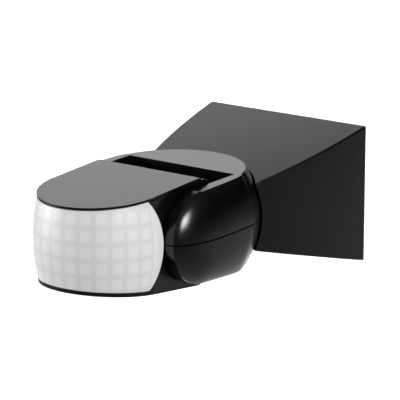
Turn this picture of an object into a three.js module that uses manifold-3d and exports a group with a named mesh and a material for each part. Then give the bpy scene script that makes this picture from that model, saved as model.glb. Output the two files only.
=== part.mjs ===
// Wall-mounted motion sensor: tilting head, swivelling fork, flared wall bracket.
// Units mm. +Z up, wall plane at Y = 0, the lens looks along -Y, X = 0 is the plane of symmetry.
import * as THREE from 'three';
import { mergeVertices } from 'three/addons/utils/BufferGeometryUtils.js';
import Module from 'manifold-3d';

const wasm = await Module();
wasm.setup();

// ---- driving dimensions ----
const R = 26;                       // half-width of the head
const GAP = 0.3;                    // clearance between neighbouring pieces
const RUN = 0.08;                   // radial clearance of a running fit

// head
const NOSE_Y = -4.634 * R;          // centre of the round front, seen from above
const TILT_Y = -3.75 * R;           // tilt axis, parallel to X at Z = 0
const REAR_R = 0.859 * R;           // round rear of the head about the tilt axis
const HEAD_Z = 0.7486 * R;          // half-height of the head at NOSE_Y
const HEAD_SLOPE = 0.0887;          // taper of each of its faces towards the front
const HEAD_WALL = 2;
const LID_T = 0.9;
const LENS_LIP = 1.4;               // lower edge of the tub in front of the lens
const LENS_MID_R = 1.069 * R;       // barrel radius at mid-height
const LENS_END_R = 0.985 * R;       // barrel radius at LENS_END_Z
const LENS_END_Z = 18;
const LENS_T = 2.6;
const LENS_EDGE_R = 1.061 * R;      // the lens's side edges are arcs of this radius
const LENS_EDGE_Y = -5.551 * R;
const SKIRT_Y = -4.5 * R;           // the lid's locating skirt starts here

// fork
const SWIVEL_Y = -3.042 * R;        // swivel axis, parallel to Z at X = 0
const BALL_R = 1.4 * R;             // round back of the fork
const ARM_BACK_Y = -2.69 * R;       // the arms' cheeks meet the ball here
const YOKE_Z = 0.746 * R;           // half-height at SWIVEL_Y
const YOKE_SLOPE = 0.042;
const SLOT_X = 1.05 * R;            // half-width of the slot that takes the head
const SLOT_Y = -2.769 * R;          // back wall of that slot
const NOSE_R = 0.725 * R;           // round front end of each arm about the tilt axis
const CHEEK_Y = -3.85 * R;          // where the arms are widest
const CHEEK_X = 0.411 * R;          // bulge of a cheek beyond the slot wall
const CHEEK_REAR = 1.74 * R;
const CHEEK_STEP = 0.3;             // an arm's rear edge stands this far out of the ball
const RIM_X = 0.107 * R;            // width of the rim round the nose
const RIM_ROOM = 0.02 * R;          // the bulge would end this far beyond the rim
const YOKE_WALL = 2.2;
const SLOT_WALL = 3.2;

// wall bracket
const PLATE_X = 1.578 * R;          // half-width at the wall
const PLATE_Z = 1.122 * R;          // half-height at the wall
const BRACKET_MID = [-1.258 * R, 1.425 * R];
const BRACKET_TIP = [-2.336 * R, 1.152 * R];
const BRACKET_SLOPE = 0.2475;
const BRACKET_WALL = 2.4;
const CUP_R = BALL_R + 0.8;         // recess round the ball
const PLATE_T = 3;

// swivel and tilt hardware
const NECK_X = 9;
const NECK_Z = 5.2;
const WINDOW_TURN = 30;             // turn each way that the neck window leaves room for
const SHOE_HALF = 17;               // half-angle of the shoe that holds the ball, degrees
const SHOE_Z = 9;
const SHOE_R = BALL_R - 3;
const SHOE_T = 2.4;
const SHOE_SCREW_X = 6.2;
const TRUNNION_R = 6.5;
const TRUNNION_BORE = 3.5;

// adjusters
const KNOB_XS = [-13, 0, 13];
const KNOB_Y = -108;
const KNOB_R = 4.4;

// colours
const BLACK = '#1c1c1d';
const STEEL = '#9a9da1';
const BRASS = '#b39345';

// ---- solid modelling helpers ----
function solid(geometry) {
  const bare = geometry.clone();
  bare.deleteAttribute('normal');
  bare.deleteAttribute('uv');
  const merged = mergeVertices(bare, 1e-4);
  return new wasm.Manifold(new wasm.Mesh({
    numProp: 3,
    vertProperties: new Float32Array(merged.attributes.position.array),
    triVerts: new Uint32Array(merged.index.array),
  }));
}

const add = (...parts) => parts.reduce((sum, part) => sum.add(part));
const cut = (body, ...tools) => tools.reduce((rest, tool) => rest.subtract(tool), body);
const common = (...parts) => parts.reduce((rest, part) => rest.intersect(part));

function box(x0, x1, y0, y1, z0, z1) {
  const block = new THREE.BoxGeometry(x1 - x0, y1 - y0, z1 - z0);
  return solid(block.translate((x0 + x1) / 2, (y0 + y1) / 2, (z0 + z1) / 2));
}

function rod(radius, from, to, segments = 32) {
  const a = new THREE.Vector3(...from);
  const b = new THREE.Vector3(...to);
  const along = b.clone().sub(a);
  const bar = new THREE.CylinderGeometry(radius, radius, along.length(), segments);
  const turn = new THREE.Quaternion().setFromUnitVectors(new THREE.Vector3(0, 1, 0), along.clone().normalize());
  const middle = a.add(b).multiplyScalar(0.5);
  return solid(bar.applyQuaternion(turn).translate(middle.x, middle.y, middle.z));
}

const ring = (outer, inner, from, to, segments = 32) => {
  const a = new THREE.Vector3(...from);
  const b = new THREE.Vector3(...to);
  const over = b.clone().sub(a).normalize();
  return cut(
    rod(outer, from, to, segments),
    rod(inner, a.sub(over).toArray(), b.add(over).toArray(), segments),
  );
};

// a flat outline extruded between two values of the axis named:
// x takes (y, z), y takes (x, z), z takes (x, y)
function prism(outline, axis, low, high) {
  const flat = new THREE.Shape(outline.map(([u, v]) => new THREE.Vector2(u, v)));
  const slab = new THREE.ExtrudeGeometry(flat, { depth: high - low, bevelEnabled: false });
  const X = new THREE.Vector3(1, 0, 0);
  const Y = new THREE.Vector3(0, 1, 0);
  const Z = new THREE.Vector3(0, 0, 1);
  const frame = new THREE.Matrix4();
  if (axis === 'x') frame.makeBasis(Y, Z, X).setPosition(low, 0, 0);
  if (axis === 'y') frame.makeBasis(X, Z, Y.clone().negate()).setPosition(0, high, 0);
  if (axis === 'z') frame.setPosition(0, 0, low);
  return solid(slab.applyMatrix4(frame));
}

// a profile of [radius, height] pairs turned about a vertical axis
function turned(profile, x, y, segments = 40) {
  const points = profile.map(([r, z]) => new THREE.Vector2(r, z));
  const shape = new THREE.LatheGeometry(points, segments);
  return solid(shape.rotateX(Math.PI / 2).translate(x, y, 0));
}

const ball = (radius, y, around = 40, up = 20) =>
  solid(new THREE.SphereGeometry(radius, around, up).rotateX(Math.PI / 2).translate(0, y, 0));

const arc = (cx, cy, radius, from, to, steps) => Array.from({ length: steps + 1 }, (_, i) => {
  const angle = THREE.MathUtils.degToRad(from + ((to - from) * i) / steps);
  return [cx + radius * Math.cos(angle), cy + radius * Math.sin(angle)];
});

function mesh(name, manifold, color, roughness = 0.5, metalness = 0) {
  const { vertProperties, triVerts } = manifold.getMesh();
  const geometry = new THREE.BufferGeometry();
  geometry.setAttribute('position', new THREE.BufferAttribute(vertProperties, 3));
  geometry.setIndex(new THREE.BufferAttribute(triVerts, 1));
  geometry.computeVertexNormals();
  const skin = new THREE.MeshStandardMaterial({ color, roughness, metalness });
  const piece = new THREE.Mesh(geometry, skin);
  piece.name = name;
  return piece;
}

// a screw from the underside of its head along a direction, with a cross recess
function screw(name, seat, direction, shank, length, head, headHeight) {
  const d = new THREE.Vector3(...direction);
  const at = (t) => new THREE.Vector3(...seat).addScaledVector(d, t).toArray();
  const side = Math.abs(d.z) > 0.5 ? new THREE.Vector3(1, 0, 0) : new THREE.Vector3(0, 0, 1);
  const other = new THREE.Vector3().crossVectors(d, side);
  const deep = Math.min(1.2, headHeight * 0.6);
  const blade = (across, wide) => {
    const reach = across.clone().multiplyScalar(head * 0.6).add(wide.clone().multiplyScalar(head * 0.13));
    const low = new THREE.Vector3(...at(-headHeight - 0.5)).sub(reach);
    const high = new THREE.Vector3(...at(-headHeight + deep)).add(reach);
    const span = new THREE.Box3().setFromPoints([low, high]);
    return box(span.min.x, span.max.x, span.min.y, span.max.y, span.min.z, span.max.z);
  };
  const body = add(rod(shank, at(-0.2), at(length), 10), rod(head, at(-headHeight), at(0), 16));
  return mesh(name, cut(body, blade(side, other), blade(other, side)), STEEL, 0.35, 1);
}

// ---- head ----
const headTop = (y) => HEAD_Z + HEAD_SLOPE * (y - NOSE_Y);

// side view of the head, moved in by t: two sloping faces joined by the round rear
function headSide(t) {
  const radius = REAR_R - t;
  const c = headTop(TILT_Y) - t;
  const s = HEAD_SLOPE;
  const back = (-c * s + Math.sqrt(radius * radius * (1 + s * s) - c * c)) / (1 + s * s);
  const edge = THREE.MathUtils.radToDeg(Math.atan2(c + s * back, back));
  const front = NOSE_Y - LENS_MID_R - 1;
  return [
    [front, -(headTop(front) - t)],
    ...arc(TILT_Y, 0, radius, -edge, edge, 12),
    [front, headTop(front) - t],
  ];
}

const headPlan = (t) => [...arc(0, NOSE_Y, R - t, 180, 360, 22), [R - t, -60], [-(R - t), -60]];
const headBlock = (t) => common(prism(headSide(t), 'x', -40, 40), prism(headPlan(t), 'z', -40, 40));

// everything above a plane lying a depth below the head's top face, or below one above its bottom face
function beyondFace(depth, sign = 1) {
  const far = NOSE_Y - 60;
  const near = -50;
  const outline = [
    [far, sign * (headTop(far) - depth)],
    [near, sign * (headTop(near) - depth)],
    [near, sign * 60],
    [far, sign * 60],
  ];
  return prism(sign > 0 ? outline : outline.reverse(), 'x', -60, 60);
}

const lensDisc = (t) => rod(LENS_EDGE_R + t, [-60, LENS_EDGE_Y, 0], [60, LENS_EDGE_Y, 0], 56);

// barrel of the lens, moved in by t
function lensBarrel(t, reach) {
  const steps = 8;
  const wall = Array.from({ length: steps + 1 }, (_, i) => {
    const z = reach * ((2 * i) / steps - 1);
    const swell = (LENS_MID_R - LENS_END_R) * (1 - (z / LENS_END_Z) ** 2);
    return [LENS_END_R + swell - t, z];
  });
  return turned([[0, -reach], ...wall, [0, reach]], 0, NOSE_Y, 44);
}

const SCREW_SPOTS = [[-17, NOSE_Y - 4], [17, NOSE_Y - 4], [-17, -96], [17, -96]];
const BOARD_LOW = -6;
const BOARD_HIGH = -4.4;

function headBody() {
  const hollow = headBlock(HEAD_WALL);
  const shell = cut(headBlock(0), hollow, hollow.translate([0, 0, 1]), beyondFace(LID_T + GAP));
  const mouth = cut(prism(headSide(0), 'x', -40, 40), beyondFace(LENS_LIP, -1));
  const lensHole = common(lensDisc(GAP), add(mouth, mouth.translate([0, 0, 1])));
  let body = cut(shell, lensHole);
  for (const [x, y] of SCREW_SPOTS) {
    const low = -headTop(y);
    body = add(body, rod(3.6, [x, y, low + 1], [x, y, BOARD_LOW - GAP], 16));
    body = cut(body, rod(2.8, [x, y, low - 2], [x, y, low + 2.6], 16), rod(1.6, [x, y, low], [x, y, 0], 10));
  }
  for (const x of KNOB_XS) {
    const low = -headTop(KNOB_Y);
    body = add(body, rod(KNOB_R + 1.6, [x, KNOB_Y, low + 1], [x, KNOB_Y, low + 6], 20));
    body = cut(body, rod(KNOB_R + GAP, [x, KNOB_Y, low - 3], [x, KNOB_Y, low + 7], 20));
  }
  const trunnion = rod(TRUNNION_R + RUN, [-40, TILT_Y, 0], [40, TILT_Y, 0], 32);
  return mesh('head_body', cut(body, trunnion), BLACK, 0.45);
}

function headLid() {
  const plate = common(headBlock(0), beyondFace(LID_T));
  const inset = HEAD_WALL + GAP;
  const skirtTop = cut(headBlock(inset), headBlock(inset + 1.3));
  const level = cut(beyondFace(4.5), beyondFace(LID_T - 0.4));
  const skirt = common(skirtTop, level, box(-40, 40, SKIRT_Y, -60, 0, 40));
  let lid = add(plate, cut(skirt, rod(10, [-40, TILT_Y, 0], [40, TILT_Y, 0], 16)));
  for (const [x, y] of SCREW_SPOTS) {
    const top = headTop(y);
    lid = add(lid, rod(3, [x, y, BOARD_HIGH + GAP], [x, y, top - 1], 14));
    lid = cut(lid, rod(1.45, [x, y, BOARD_HIGH - 1], [x, y, top - 4], 10));
  }
  return mesh('head_lid', lid, BLACK, 0.45);
}

function fresnelLens() {
  const wall = cut(lensBarrel(0, LENS_END_Z + 4), lensBarrel(LENS_T, LENS_END_Z + 6));
  const side = prism(headSide(0), 'x', -40, 40);
  const room = cut(side, beyondFace(LID_T + GAP), beyondFace(LENS_LIP + GAP, -1));
  return mesh('fresnel_lens', common(wall, room, lensDisc(0)), '#e9e9e6', 0.35);
}

function controlBoard() {
  const outline = [...arc(0, NOSE_Y, 21.5, 180, 360, 16), [21.5, -84], [-21.5, -84]];
  let board = prism(outline, 'z', BOARD_LOW, BOARD_HIGH);
  for (const [x, y] of SCREW_SPOTS) board = cut(board, rod(1.6, [x, y, -10], [x, y, 0], 10));
  return mesh('control_board', board, '#1f5a3a', 0.5);
}

function headElectronics() {
  const base = BOARD_HIGH + GAP;
  const faces = [135, 225, 315, 45].map((a) => arc(0, NOSE_Y, 11.2, a, a, 1)[0]);
  const pieces = [mesh('pir_holder', prism(faces, 'z', base, 10.5), '#d8d6cf', 0.6)];
  const angles = { left: 180, centre: 270, right: 360 };
  for (const [side, angle] of Object.entries(angles)) {
    const a = THREE.MathUtils.degToRad(angle);
    const at = (r) => [r * Math.cos(a), NOSE_Y + r * Math.sin(a), 3.5];
    const can = add(rod(4.6, at(8.2), at(8.9), 18), rod(4.1, at(8.2), at(12.4), 18));
    const pane = rod(2.4, at(12.1), at(13), 12);
    pieces.push(mesh(`pir_sensor_${side}`, cut(can, pane), '#b9bcc0', 0.3, 1));
  }
  const row = NOSE_Y - 15;
  const photocell = rod(2.6, [-12, row, base], [-12, row, base + 2.2], 16);
  pieces.push(mesh('photocell', photocell, '#c46b3c', 0.5));
  const dome = new THREE.SphereGeometry(1.5, 12, 8).rotateX(Math.PI / 2);
  const led = add(rod(1.5, [12, row, base], [12, row, base + 3.2], 12), solid(dome.translate(12, row, base + 3.2)));
  pieces.push(mesh('indicator_led', led, '#b3261e', 0.25));
  pieces.push(mesh('relay', box(-12, 3, -104, -86, base, base + 14), '#22242a', 0.5));
  pieces.push(mesh('main_capacitor', rod(4.5, [9.5, -100, base], [9.5, -100, base + 13], 20), '#262b45', 0.4));
  pieces.push(mesh('film_capacitor', box(5, 12, -95, -86, base, base + 10), '#c9a227', 0.45));
  let plug = box(-6, 6, -110.5, -105, base, base + 7);
  for (const x of [-3.8, 0, 3.8]) plug = cut(plug, box(x - 1.2, x + 1.2, -109.2, -106.3, base + 2, base + 9));
  pieces.push(mesh('board_connector', plug, '#e6e2d6', 0.5));
  return pieces;
}

const KNOB_NAMES = ['lux', 'time', 'range'];

function adjusters() {
  return KNOB_XS.flatMap((x, i) => {
    const low = -headTop(KNOB_Y) + 1;
    const can = cut(box(x - 5, x + 5, KNOB_Y - 5, KNOB_Y + 5, -12, BOARD_LOW - GAP),
      rod(2 + RUN, [x, KNOB_Y, -14], [x, KNOB_Y, -7.6], 20));
    const shaft = rod(2, [x, KNOB_Y, low + 2], [x, KNOB_Y, -8], 20);
    const disc = rod(KNOB_R, [x, KNOB_Y, low], [x, KNOB_Y, low + 3.4], 24);
    const pointer = box(x - 0.6, x + 0.6, KNOB_Y - 3.9, KNOB_Y + 1.5, low - 1, low + 1.1);
    return [
      mesh(`potentiometer_${KNOB_NAMES[i]}`, can, '#3a5f9a', 0.5),
      mesh(`knob_${KNOB_NAMES[i]}`, cut(add(disc, shaft), pointer), '#e4e2dc', 0.45),
    ];
  });
}

const headScrews = () => SCREW_SPOTS.map(([x, y], i) =>
  screw(`head_screw_${i + 1}`, [x, y, -headTop(y) + 2.5], [0, 0, 1], 1.25, 19, 2.5, 1.7));

// ---- fork ----
const yokeTop = (y) => YOKE_Z + YOKE_SLOPE * (y - SWIVEL_Y);

// side view of the fork, moved in by t: round nose and two nearly flat faces
function yokeSide(t) {
  const radius = NOSE_R - t;
  const c = yokeTop(TILT_Y) - t;
  const edge = 90 + THREE.MathUtils.radToDeg(Math.acos(Math.min(1, c / radius)));
  const back = SWIVEL_Y + BALL_R + 2;
  return [
    ...arc(TILT_Y, 0, radius, edge, 360 - edge, 16),
    [back, -(yokeTop(back) - t)],
    [back, yokeTop(back) - t],
  ];
}

// half-width of an arm at a height, before its wall thickness t is taken off
function cheek(y, z) {
  const behind = Math.sqrt(1 - (Math.max(0, y - CHEEK_Y) / CHEEK_REAR) ** 2);
  const along = THREE.MathUtils.clamp((y - CHEEK_Y) / (ARM_BACK_Y - CHEEK_Y), 0, 1) ** 6;
  const tall = NOSE_R + RIM_ROOM + YOKE_SLOPE * Math.max(0, y - TILT_Y);
  const level = 1 - (Math.hypot(Math.min(0, y - TILT_Y), z) / tall) ** 2;
  const bulge = SLOT_X + (RIM_X + (CHEEK_X - RIM_X) * Math.sqrt(Math.max(0, level))) * behind;
  const round = Math.sqrt(Math.max(0, BALL_R ** 2 - (y - SWIVEL_Y) ** 2 - z * z));
  return THREE.MathUtils.lerp(bulge, round + CHEEK_STEP, along);
}

// a block between x = inner and the cheek surface moved in by t, on one side of the slot
function armBlock(side, inner, t, front, back, ny, nz) {
  const points = [];
  const index = [];
  const tall = 0.81 * R;
  const yAt = (i) => {
    const u = i / (ny - 1);
    const bend = 0.5 - 0.5 * Math.cos(Math.PI * u);
    return front + (back - front) * (0.4 * u + 0.6 * bend);
  };
  const zAt = (j) => tall * Math.sin((Math.PI / 2) * ((2 * j) / (nz - 1) - 1));
  for (let layer = 0; layer < 2; layer++) {
    for (let i = 0; i < ny; i++) {
      for (let j = 0; j < nz; j++) {
        const outer = Math.max(cheek(yAt(i), zAt(j)) - t, inner + 0.5);
        points.push(side * (layer ? outer : inner), yAt(i), zAt(j));
      }
    }
  }
  const at = (layer, i, j) => layer * ny * nz + i * nz + j;
  const quad = (a, b, c, d) => (side > 0 ? index.push(a, b, c, a, c, d) : index.push(a, c, b, a, d, c));
  for (let i = 0; i < ny - 1; i++) {
    for (let j = 0; j < nz - 1; j++) {
      quad(at(1, i, j), at(1, i + 1, j), at(1, i + 1, j + 1), at(1, i, j + 1));
      quad(at(0, i, j), at(0, i, j + 1), at(0, i + 1, j + 1), at(0, i + 1, j));
    }
  }
  for (let i = 0; i < ny - 1; i++) {
    quad(at(0, i, 0), at(0, i + 1, 0), at(1, i + 1, 0), at(1, i, 0));
    quad(at(0, i, nz - 1), at(1, i, nz - 1), at(1, i + 1, nz - 1), at(0, i + 1, nz - 1));
  }
  for (let j = 0; j < nz - 1; j++) {
    quad(at(0, 0, j), at(1, 0, j), at(1, 0, j + 1), at(0, 0, j + 1));
    quad(at(0, ny - 1, j), at(0, ny - 1, j + 1), at(1, ny - 1, j + 1), at(1, ny - 1, j));
  }
  const geometry = new THREE.BufferGeometry();
  geometry.setAttribute('position', new THREE.Float32BufferAttribute(points, 3));
  geometry.setIndex(index);
  return solid(geometry);
}

function yokeBlock() {
  const front = TILT_Y - NOSE_R - 0.5;
  const arms = add(
    armBlock(1, 20, 0, front, ARM_BACK_Y + 0.2, 19, 17),
    armBlock(-1, 20, 0, front, ARM_BACK_Y + 0.2, 19, 17),
  );
  const back = cut(ball(BALL_R, SWIVEL_Y), box(-60, 60, -160, ARM_BACK_Y, -60, 60));
  const web = box(-SLOT_X - 1, SLOT_X + 1, SLOT_Y, ARM_BACK_Y + 0.5, -40, 40);
  const slot = box(-SLOT_X, SLOT_X, -160, SLOT_Y, -60, 60);
  return cut(common(add(arms, back, web), prism(yokeSide(0), 'x', -60, 60)), slot);
}

function yokeHollow() {
  const wall = SLOT_X + SLOT_WALL;
  const front = TILT_Y - NOSE_R - 0.5;
  const arms = add(
    armBlock(1, 10, YOKE_WALL, front, SWIVEL_Y + 14, 8, 8),
    armBlock(-1, 10, YOKE_WALL, front, SWIVEL_Y + 14, 8, 8),
  );
  const sides = cut(arms, box(-wall, wall, -160, -40, -60, 60));
  const round = ball(BALL_R - YOKE_WALL, SWIVEL_Y, 24, 12);
  const back = common(round, box(-60, 60, SLOT_Y + SLOT_WALL, 0, -60, 60));
  const limit = add(box(-60, 60, -160, SLOT_Y + SLOT_WALL, -60, 60), round);
  return common(add(common(sides, limit), back), prism(yokeSide(YOKE_WALL), 'x', -60, 60));
}

// opening in the fork's back that lets the bracket's neck swing
function neckWindow() {
  const half = WINDOW_TURN + THREE.MathUtils.radToDeg(Math.asin(NECK_X / (SHOE_R - 1))) + 1;
  const outline = [
    ...arc(0, SWIVEL_Y, 45, 90 - half, 90 + half, 16),
    ...arc(0, SWIVEL_Y, 24, 90 + half, 90 - half, 10),
  ];
  return prism(outline, 'z', -NECK_Z - 0.6, NECK_Z + 0.6);
}

const YOKE_SCREWS = [['left', -24], ['right', 24]];
const YOKE_SCREW_Y = -65.4;
const PART = 0.28;                  // half the width of the parting line

function yokeShells() {
  const shell = cut(yokeBlock(), yokeHollow(), neckWindow());
  const bores = [
    rod(TRUNNION_R + GAP, [-SLOT_X - 4, TILT_Y, 0], [SLOT_X + 4, TILT_Y, 0], 32),
    rod(9.8, [-SLOT_X - 1.4, TILT_Y, 0], [SLOT_X + 1.4, TILT_Y, 0], 32),
  ];
  const halves = cut(shell, ...bores);
  const roof = yokeTop(SWIVEL_Y) - 1;
  let upper = common(halves, box(-60, 60, -160, 0, PART, 60));
  let lower = common(halves, box(-60, 60, -160, 0, -60, -PART));
  for (const [, x] of YOKE_SCREWS) {
    upper = add(upper, rod(2.8, [x, YOKE_SCREW_Y, PART], [x, YOKE_SCREW_Y, roof], 14));
    upper = cut(upper, rod(1.4, [x, YOKE_SCREW_Y, -5], [x, YOKE_SCREW_Y, 12], 10));
    lower = add(lower, rod(3.4, [x, YOKE_SCREW_Y, -roof], [x, YOKE_SCREW_Y, -PART], 14));
    lower = cut(lower,
      rod(2.7, [x, YOKE_SCREW_Y, -30], [x, YOKE_SCREW_Y, -16], 16),
      rod(1.6, [x, YOKE_SCREW_Y, -30], [x, YOKE_SCREW_Y, 5], 10));
  }
  return [mesh('yoke_upper_shell', upper, BLACK, 0.42), mesh('yoke_lower_shell', lower, BLACK, 0.42)];
}

function yokeHardware() {
  const pieces = [];
  for (const [side, x] of YOKE_SCREWS) {
    pieces.push(screw(`yoke_screw_${side}`, [x, YOKE_SCREW_Y, -16.2], [0, 0, 1], 1.25, 24, 2.4, 1.8));
  }
  for (const [side, s] of [['left', -1], ['right', 1]]) {
    const at = (x) => [s * x, TILT_Y, 0];
    const wall = SLOT_X + SLOT_WALL;
    const bush = add(
      rod(TRUNNION_R, at(R - HEAD_WALL - GAP - 1), at(wall + 3.4), 32),
      rod(8.6, at(R - HEAD_WALL - GAP - 1.8), at(R - HEAD_WALL - GAP), 28));
    const hex = arc(TILT_Y, 0, 9.2, 0, 300, 5);
    const blank = s > 0 ? prism(hex, 'x', wall + GAP, wall + 2.8) : prism(hex, 'x', -wall - 2.8, -wall - GAP);
    pieces.push(
      mesh(`tilt_pivot_${side}`, cut(bush, rod(TRUNNION_BORE, at(15), at(45), 20)), STEEL, 0.35, 1),
      mesh(`tilt_nut_${side}`, cut(blank, rod(TRUNNION_R + 0.2, at(20), at(45), 28)), BRASS, 0.4, 1),
      mesh(`tilt_washer_${side}`, ring(9.5, TRUNNION_R + GAP, at(R + 0.28), at(SLOT_X + 1.1), 28), '#2a2a2a', 0.8));
  }
  return pieces;
}

// ---- wall bracket ----
// half-width of the bracket: a parabola through its tip, middle and wall edge
function bracketX(y) {
  const [[ya, xa], [yb, xb], [yc, xc]] = [BRACKET_TIP, BRACKET_MID, [0, PLATE_X]];
  return (xa * (y - yb) * (y - yc)) / ((ya - yb) * (ya - yc))
    + (xb * (y - ya) * (y - yc)) / ((yb - ya) * (yb - yc))
    + (xc * (y - ya) * (y - yb)) / ((yc - ya) * (yc - yb));
}

const bracketZ = (y) => PLATE_Z + BRACKET_SLOPE * y;

function bracketBlock(t, back) {
  const front = BRACKET_TIP[0] - 4;
  const steps = 12;
  const ys = Array.from({ length: steps + 1 }, (_, i) => front + ((back - front) * i) / steps);
  const plan = [...ys.map((y) => [bracketX(y) - t, y]), ...ys.reverse().map((y) => [-(bracketX(y) - t), y])];
  const side = [[front, -(bracketZ(front) - t)], [back, -(bracketZ(back) - t)], [back, bracketZ(back) - t],
    [front, bracketZ(front) - t]];
  return common(prism(plan, 'z', -60, 60), prism(side, 'x', -60, 60));
}

const SHOE_SEAT_Y = SWIVEL_Y + CUP_R + BRACKET_WALL + 1;
const HOUSING_SCREWS = [['left', -24], ['right', 24]];
const HOUSING_SCREW_Y = -9;
const PAD_TOP = -22.6;

function bracketHousing() {
  const hollow = cut(bracketBlock(BRACKET_WALL, 2), ball(CUP_R + BRACKET_WALL, SWIVEL_Y, 24, 12));
  let housing = cut(bracketBlock(0, 0), hollow);
  for (const [, x] of HOUSING_SCREWS) {
    const pad = box(x - 5, x + 5, HOUSING_SCREW_Y - 5, HOUSING_SCREW_Y + 4.5, -30, PAD_TOP);
    housing = add(housing, common(pad, bracketBlock(0.5, 0)));
  }
  const seat = box(-SHOE_SCREW_X - 3.4, SHOE_SCREW_X + 3.4, SWIVEL_Y + CUP_R - 4, SHOE_SEAT_Y, -4, 4);
  housing = cut(add(housing, seat), ball(CUP_R, SWIVEL_Y));
  for (const [x, radius] of [[-SHOE_SCREW_X, 1.6], [0, 2.9], [SHOE_SCREW_X, 1.6]]) {
    housing = cut(housing, rod(radius, [x, SWIVEL_Y + CUP_R - 9, 0], [x, SHOE_SEAT_Y + 4, 0], 14));
  }
  for (const [, x] of HOUSING_SCREWS) {
    const y = HOUSING_SCREW_Y;
    housing = cut(housing, rod(3.2, [x, y, -40], [x, y, -25], 18), rod(1.9, [x, y, -40], [x, y, -15], 10));
  }
  return mesh('bracket_housing', housing, BLACK, 0.5);
}

// curved shoe inside the ball, on a neck that reaches the cup through the fork's window
function swivelShoe() {
  const sector = [[0, SWIVEL_Y], ...arc(0, SWIVEL_Y, 50, 90 - SHOE_HALF, 90 + SHOE_HALF, 6)];
  const skin = cut(ball(SHOE_R, SWIVEL_Y, 32, 16), ball(SHOE_R - SHOE_T, SWIVEL_Y, 32, 16));
  const plate = common(skin, prism(sector, 'z', -SHOE_Z, SHOE_Z));
  const block = box(-NECK_X, NECK_X, SWIVEL_Y + SHOE_R - SHOE_T, -30, -NECK_Z, NECK_Z);
  let shoe = add(plate, common(block, ball(CUP_R - GAP, SWIVEL_Y)));
  for (const [x, radius] of [[-SHOE_SCREW_X, 1.35], [0, 2.6], [SHOE_SCREW_X, 1.35]]) {
    shoe = cut(shoe, rod(radius, [x, SWIVEL_Y + 20, 0], [x, -30, 0], 14));
  }
  return [
    mesh('swivel_shoe', shoe, '#d8d6cf', 0.5),
    ...[['left', -SHOE_SCREW_X], ['right', SHOE_SCREW_X]].map(([side, x]) =>
      screw(`shoe_screw_${side}`, [x, SHOE_SEAT_Y + 0.2, 0], [0, -1, 0], 1.2, 8.5, 2.6, 1.7)),
  ];
}

const WALL_SLOT_X = 30;
const ENTRY_Z = -11;
const ENTRY_R = 6.5;
const CLAMP_Z = -18;
const CLAMP_X = 11;

function backPlate() {
  const inset = BRACKET_WALL + GAP;
  const outline = [
    [-(bracketX(0) - inset - 0.2), -(bracketZ(-PLATE_T) - inset)], [bracketX(0) - inset - 0.2, -(bracketZ(-PLATE_T) - inset)],
    [bracketX(0) - inset - 0.2, bracketZ(-PLATE_T) - inset], [-(bracketX(0) - inset - 0.2), bracketZ(-PLATE_T) - inset],
  ];
  let plate = prism(outline, 'y', -PLATE_T, 0);
  for (const [, x] of HOUSING_SCREWS) {
    plate = add(plate, box(x - 4, x + 4, HOUSING_SCREW_Y - 4, -PLATE_T + 0.5, PAD_TOP + GAP, PAD_TOP + 8));
    plate = cut(plate, rod(1.5, [x, HOUSING_SCREW_Y, PAD_TOP - 2], [x, HOUSING_SCREW_Y, PAD_TOP + 7], 10));
  }
  for (const x of [-CLAMP_X, CLAMP_X]) {
    plate = add(plate, rod(3.2, [x, -8, CLAMP_Z], [x, -PLATE_T + 0.5, CLAMP_Z], 14));
    plate = cut(plate, rod(1.4, [x, -10, CLAMP_Z], [x, -1.2, CLAMP_Z], 10));
  }
  for (const x of [-WALL_SLOT_X, WALL_SLOT_X]) {
    plate = cut(plate, box(x - 2.6, x + 2.6, -10, 2, -2.5, 2.5),
      rod(2.6, [x, -10, -2.5], [x, 2, -2.5], 14), rod(2.6, [x, -10, 2.5], [x, 2, 2.5], 14));
  }
  plate = cut(plate, rod(ENTRY_R, [0, -10, ENTRY_Z], [0, 2, ENTRY_Z], 24));
  return mesh('back_plate', plate, '#242425', 0.6);
}

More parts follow.
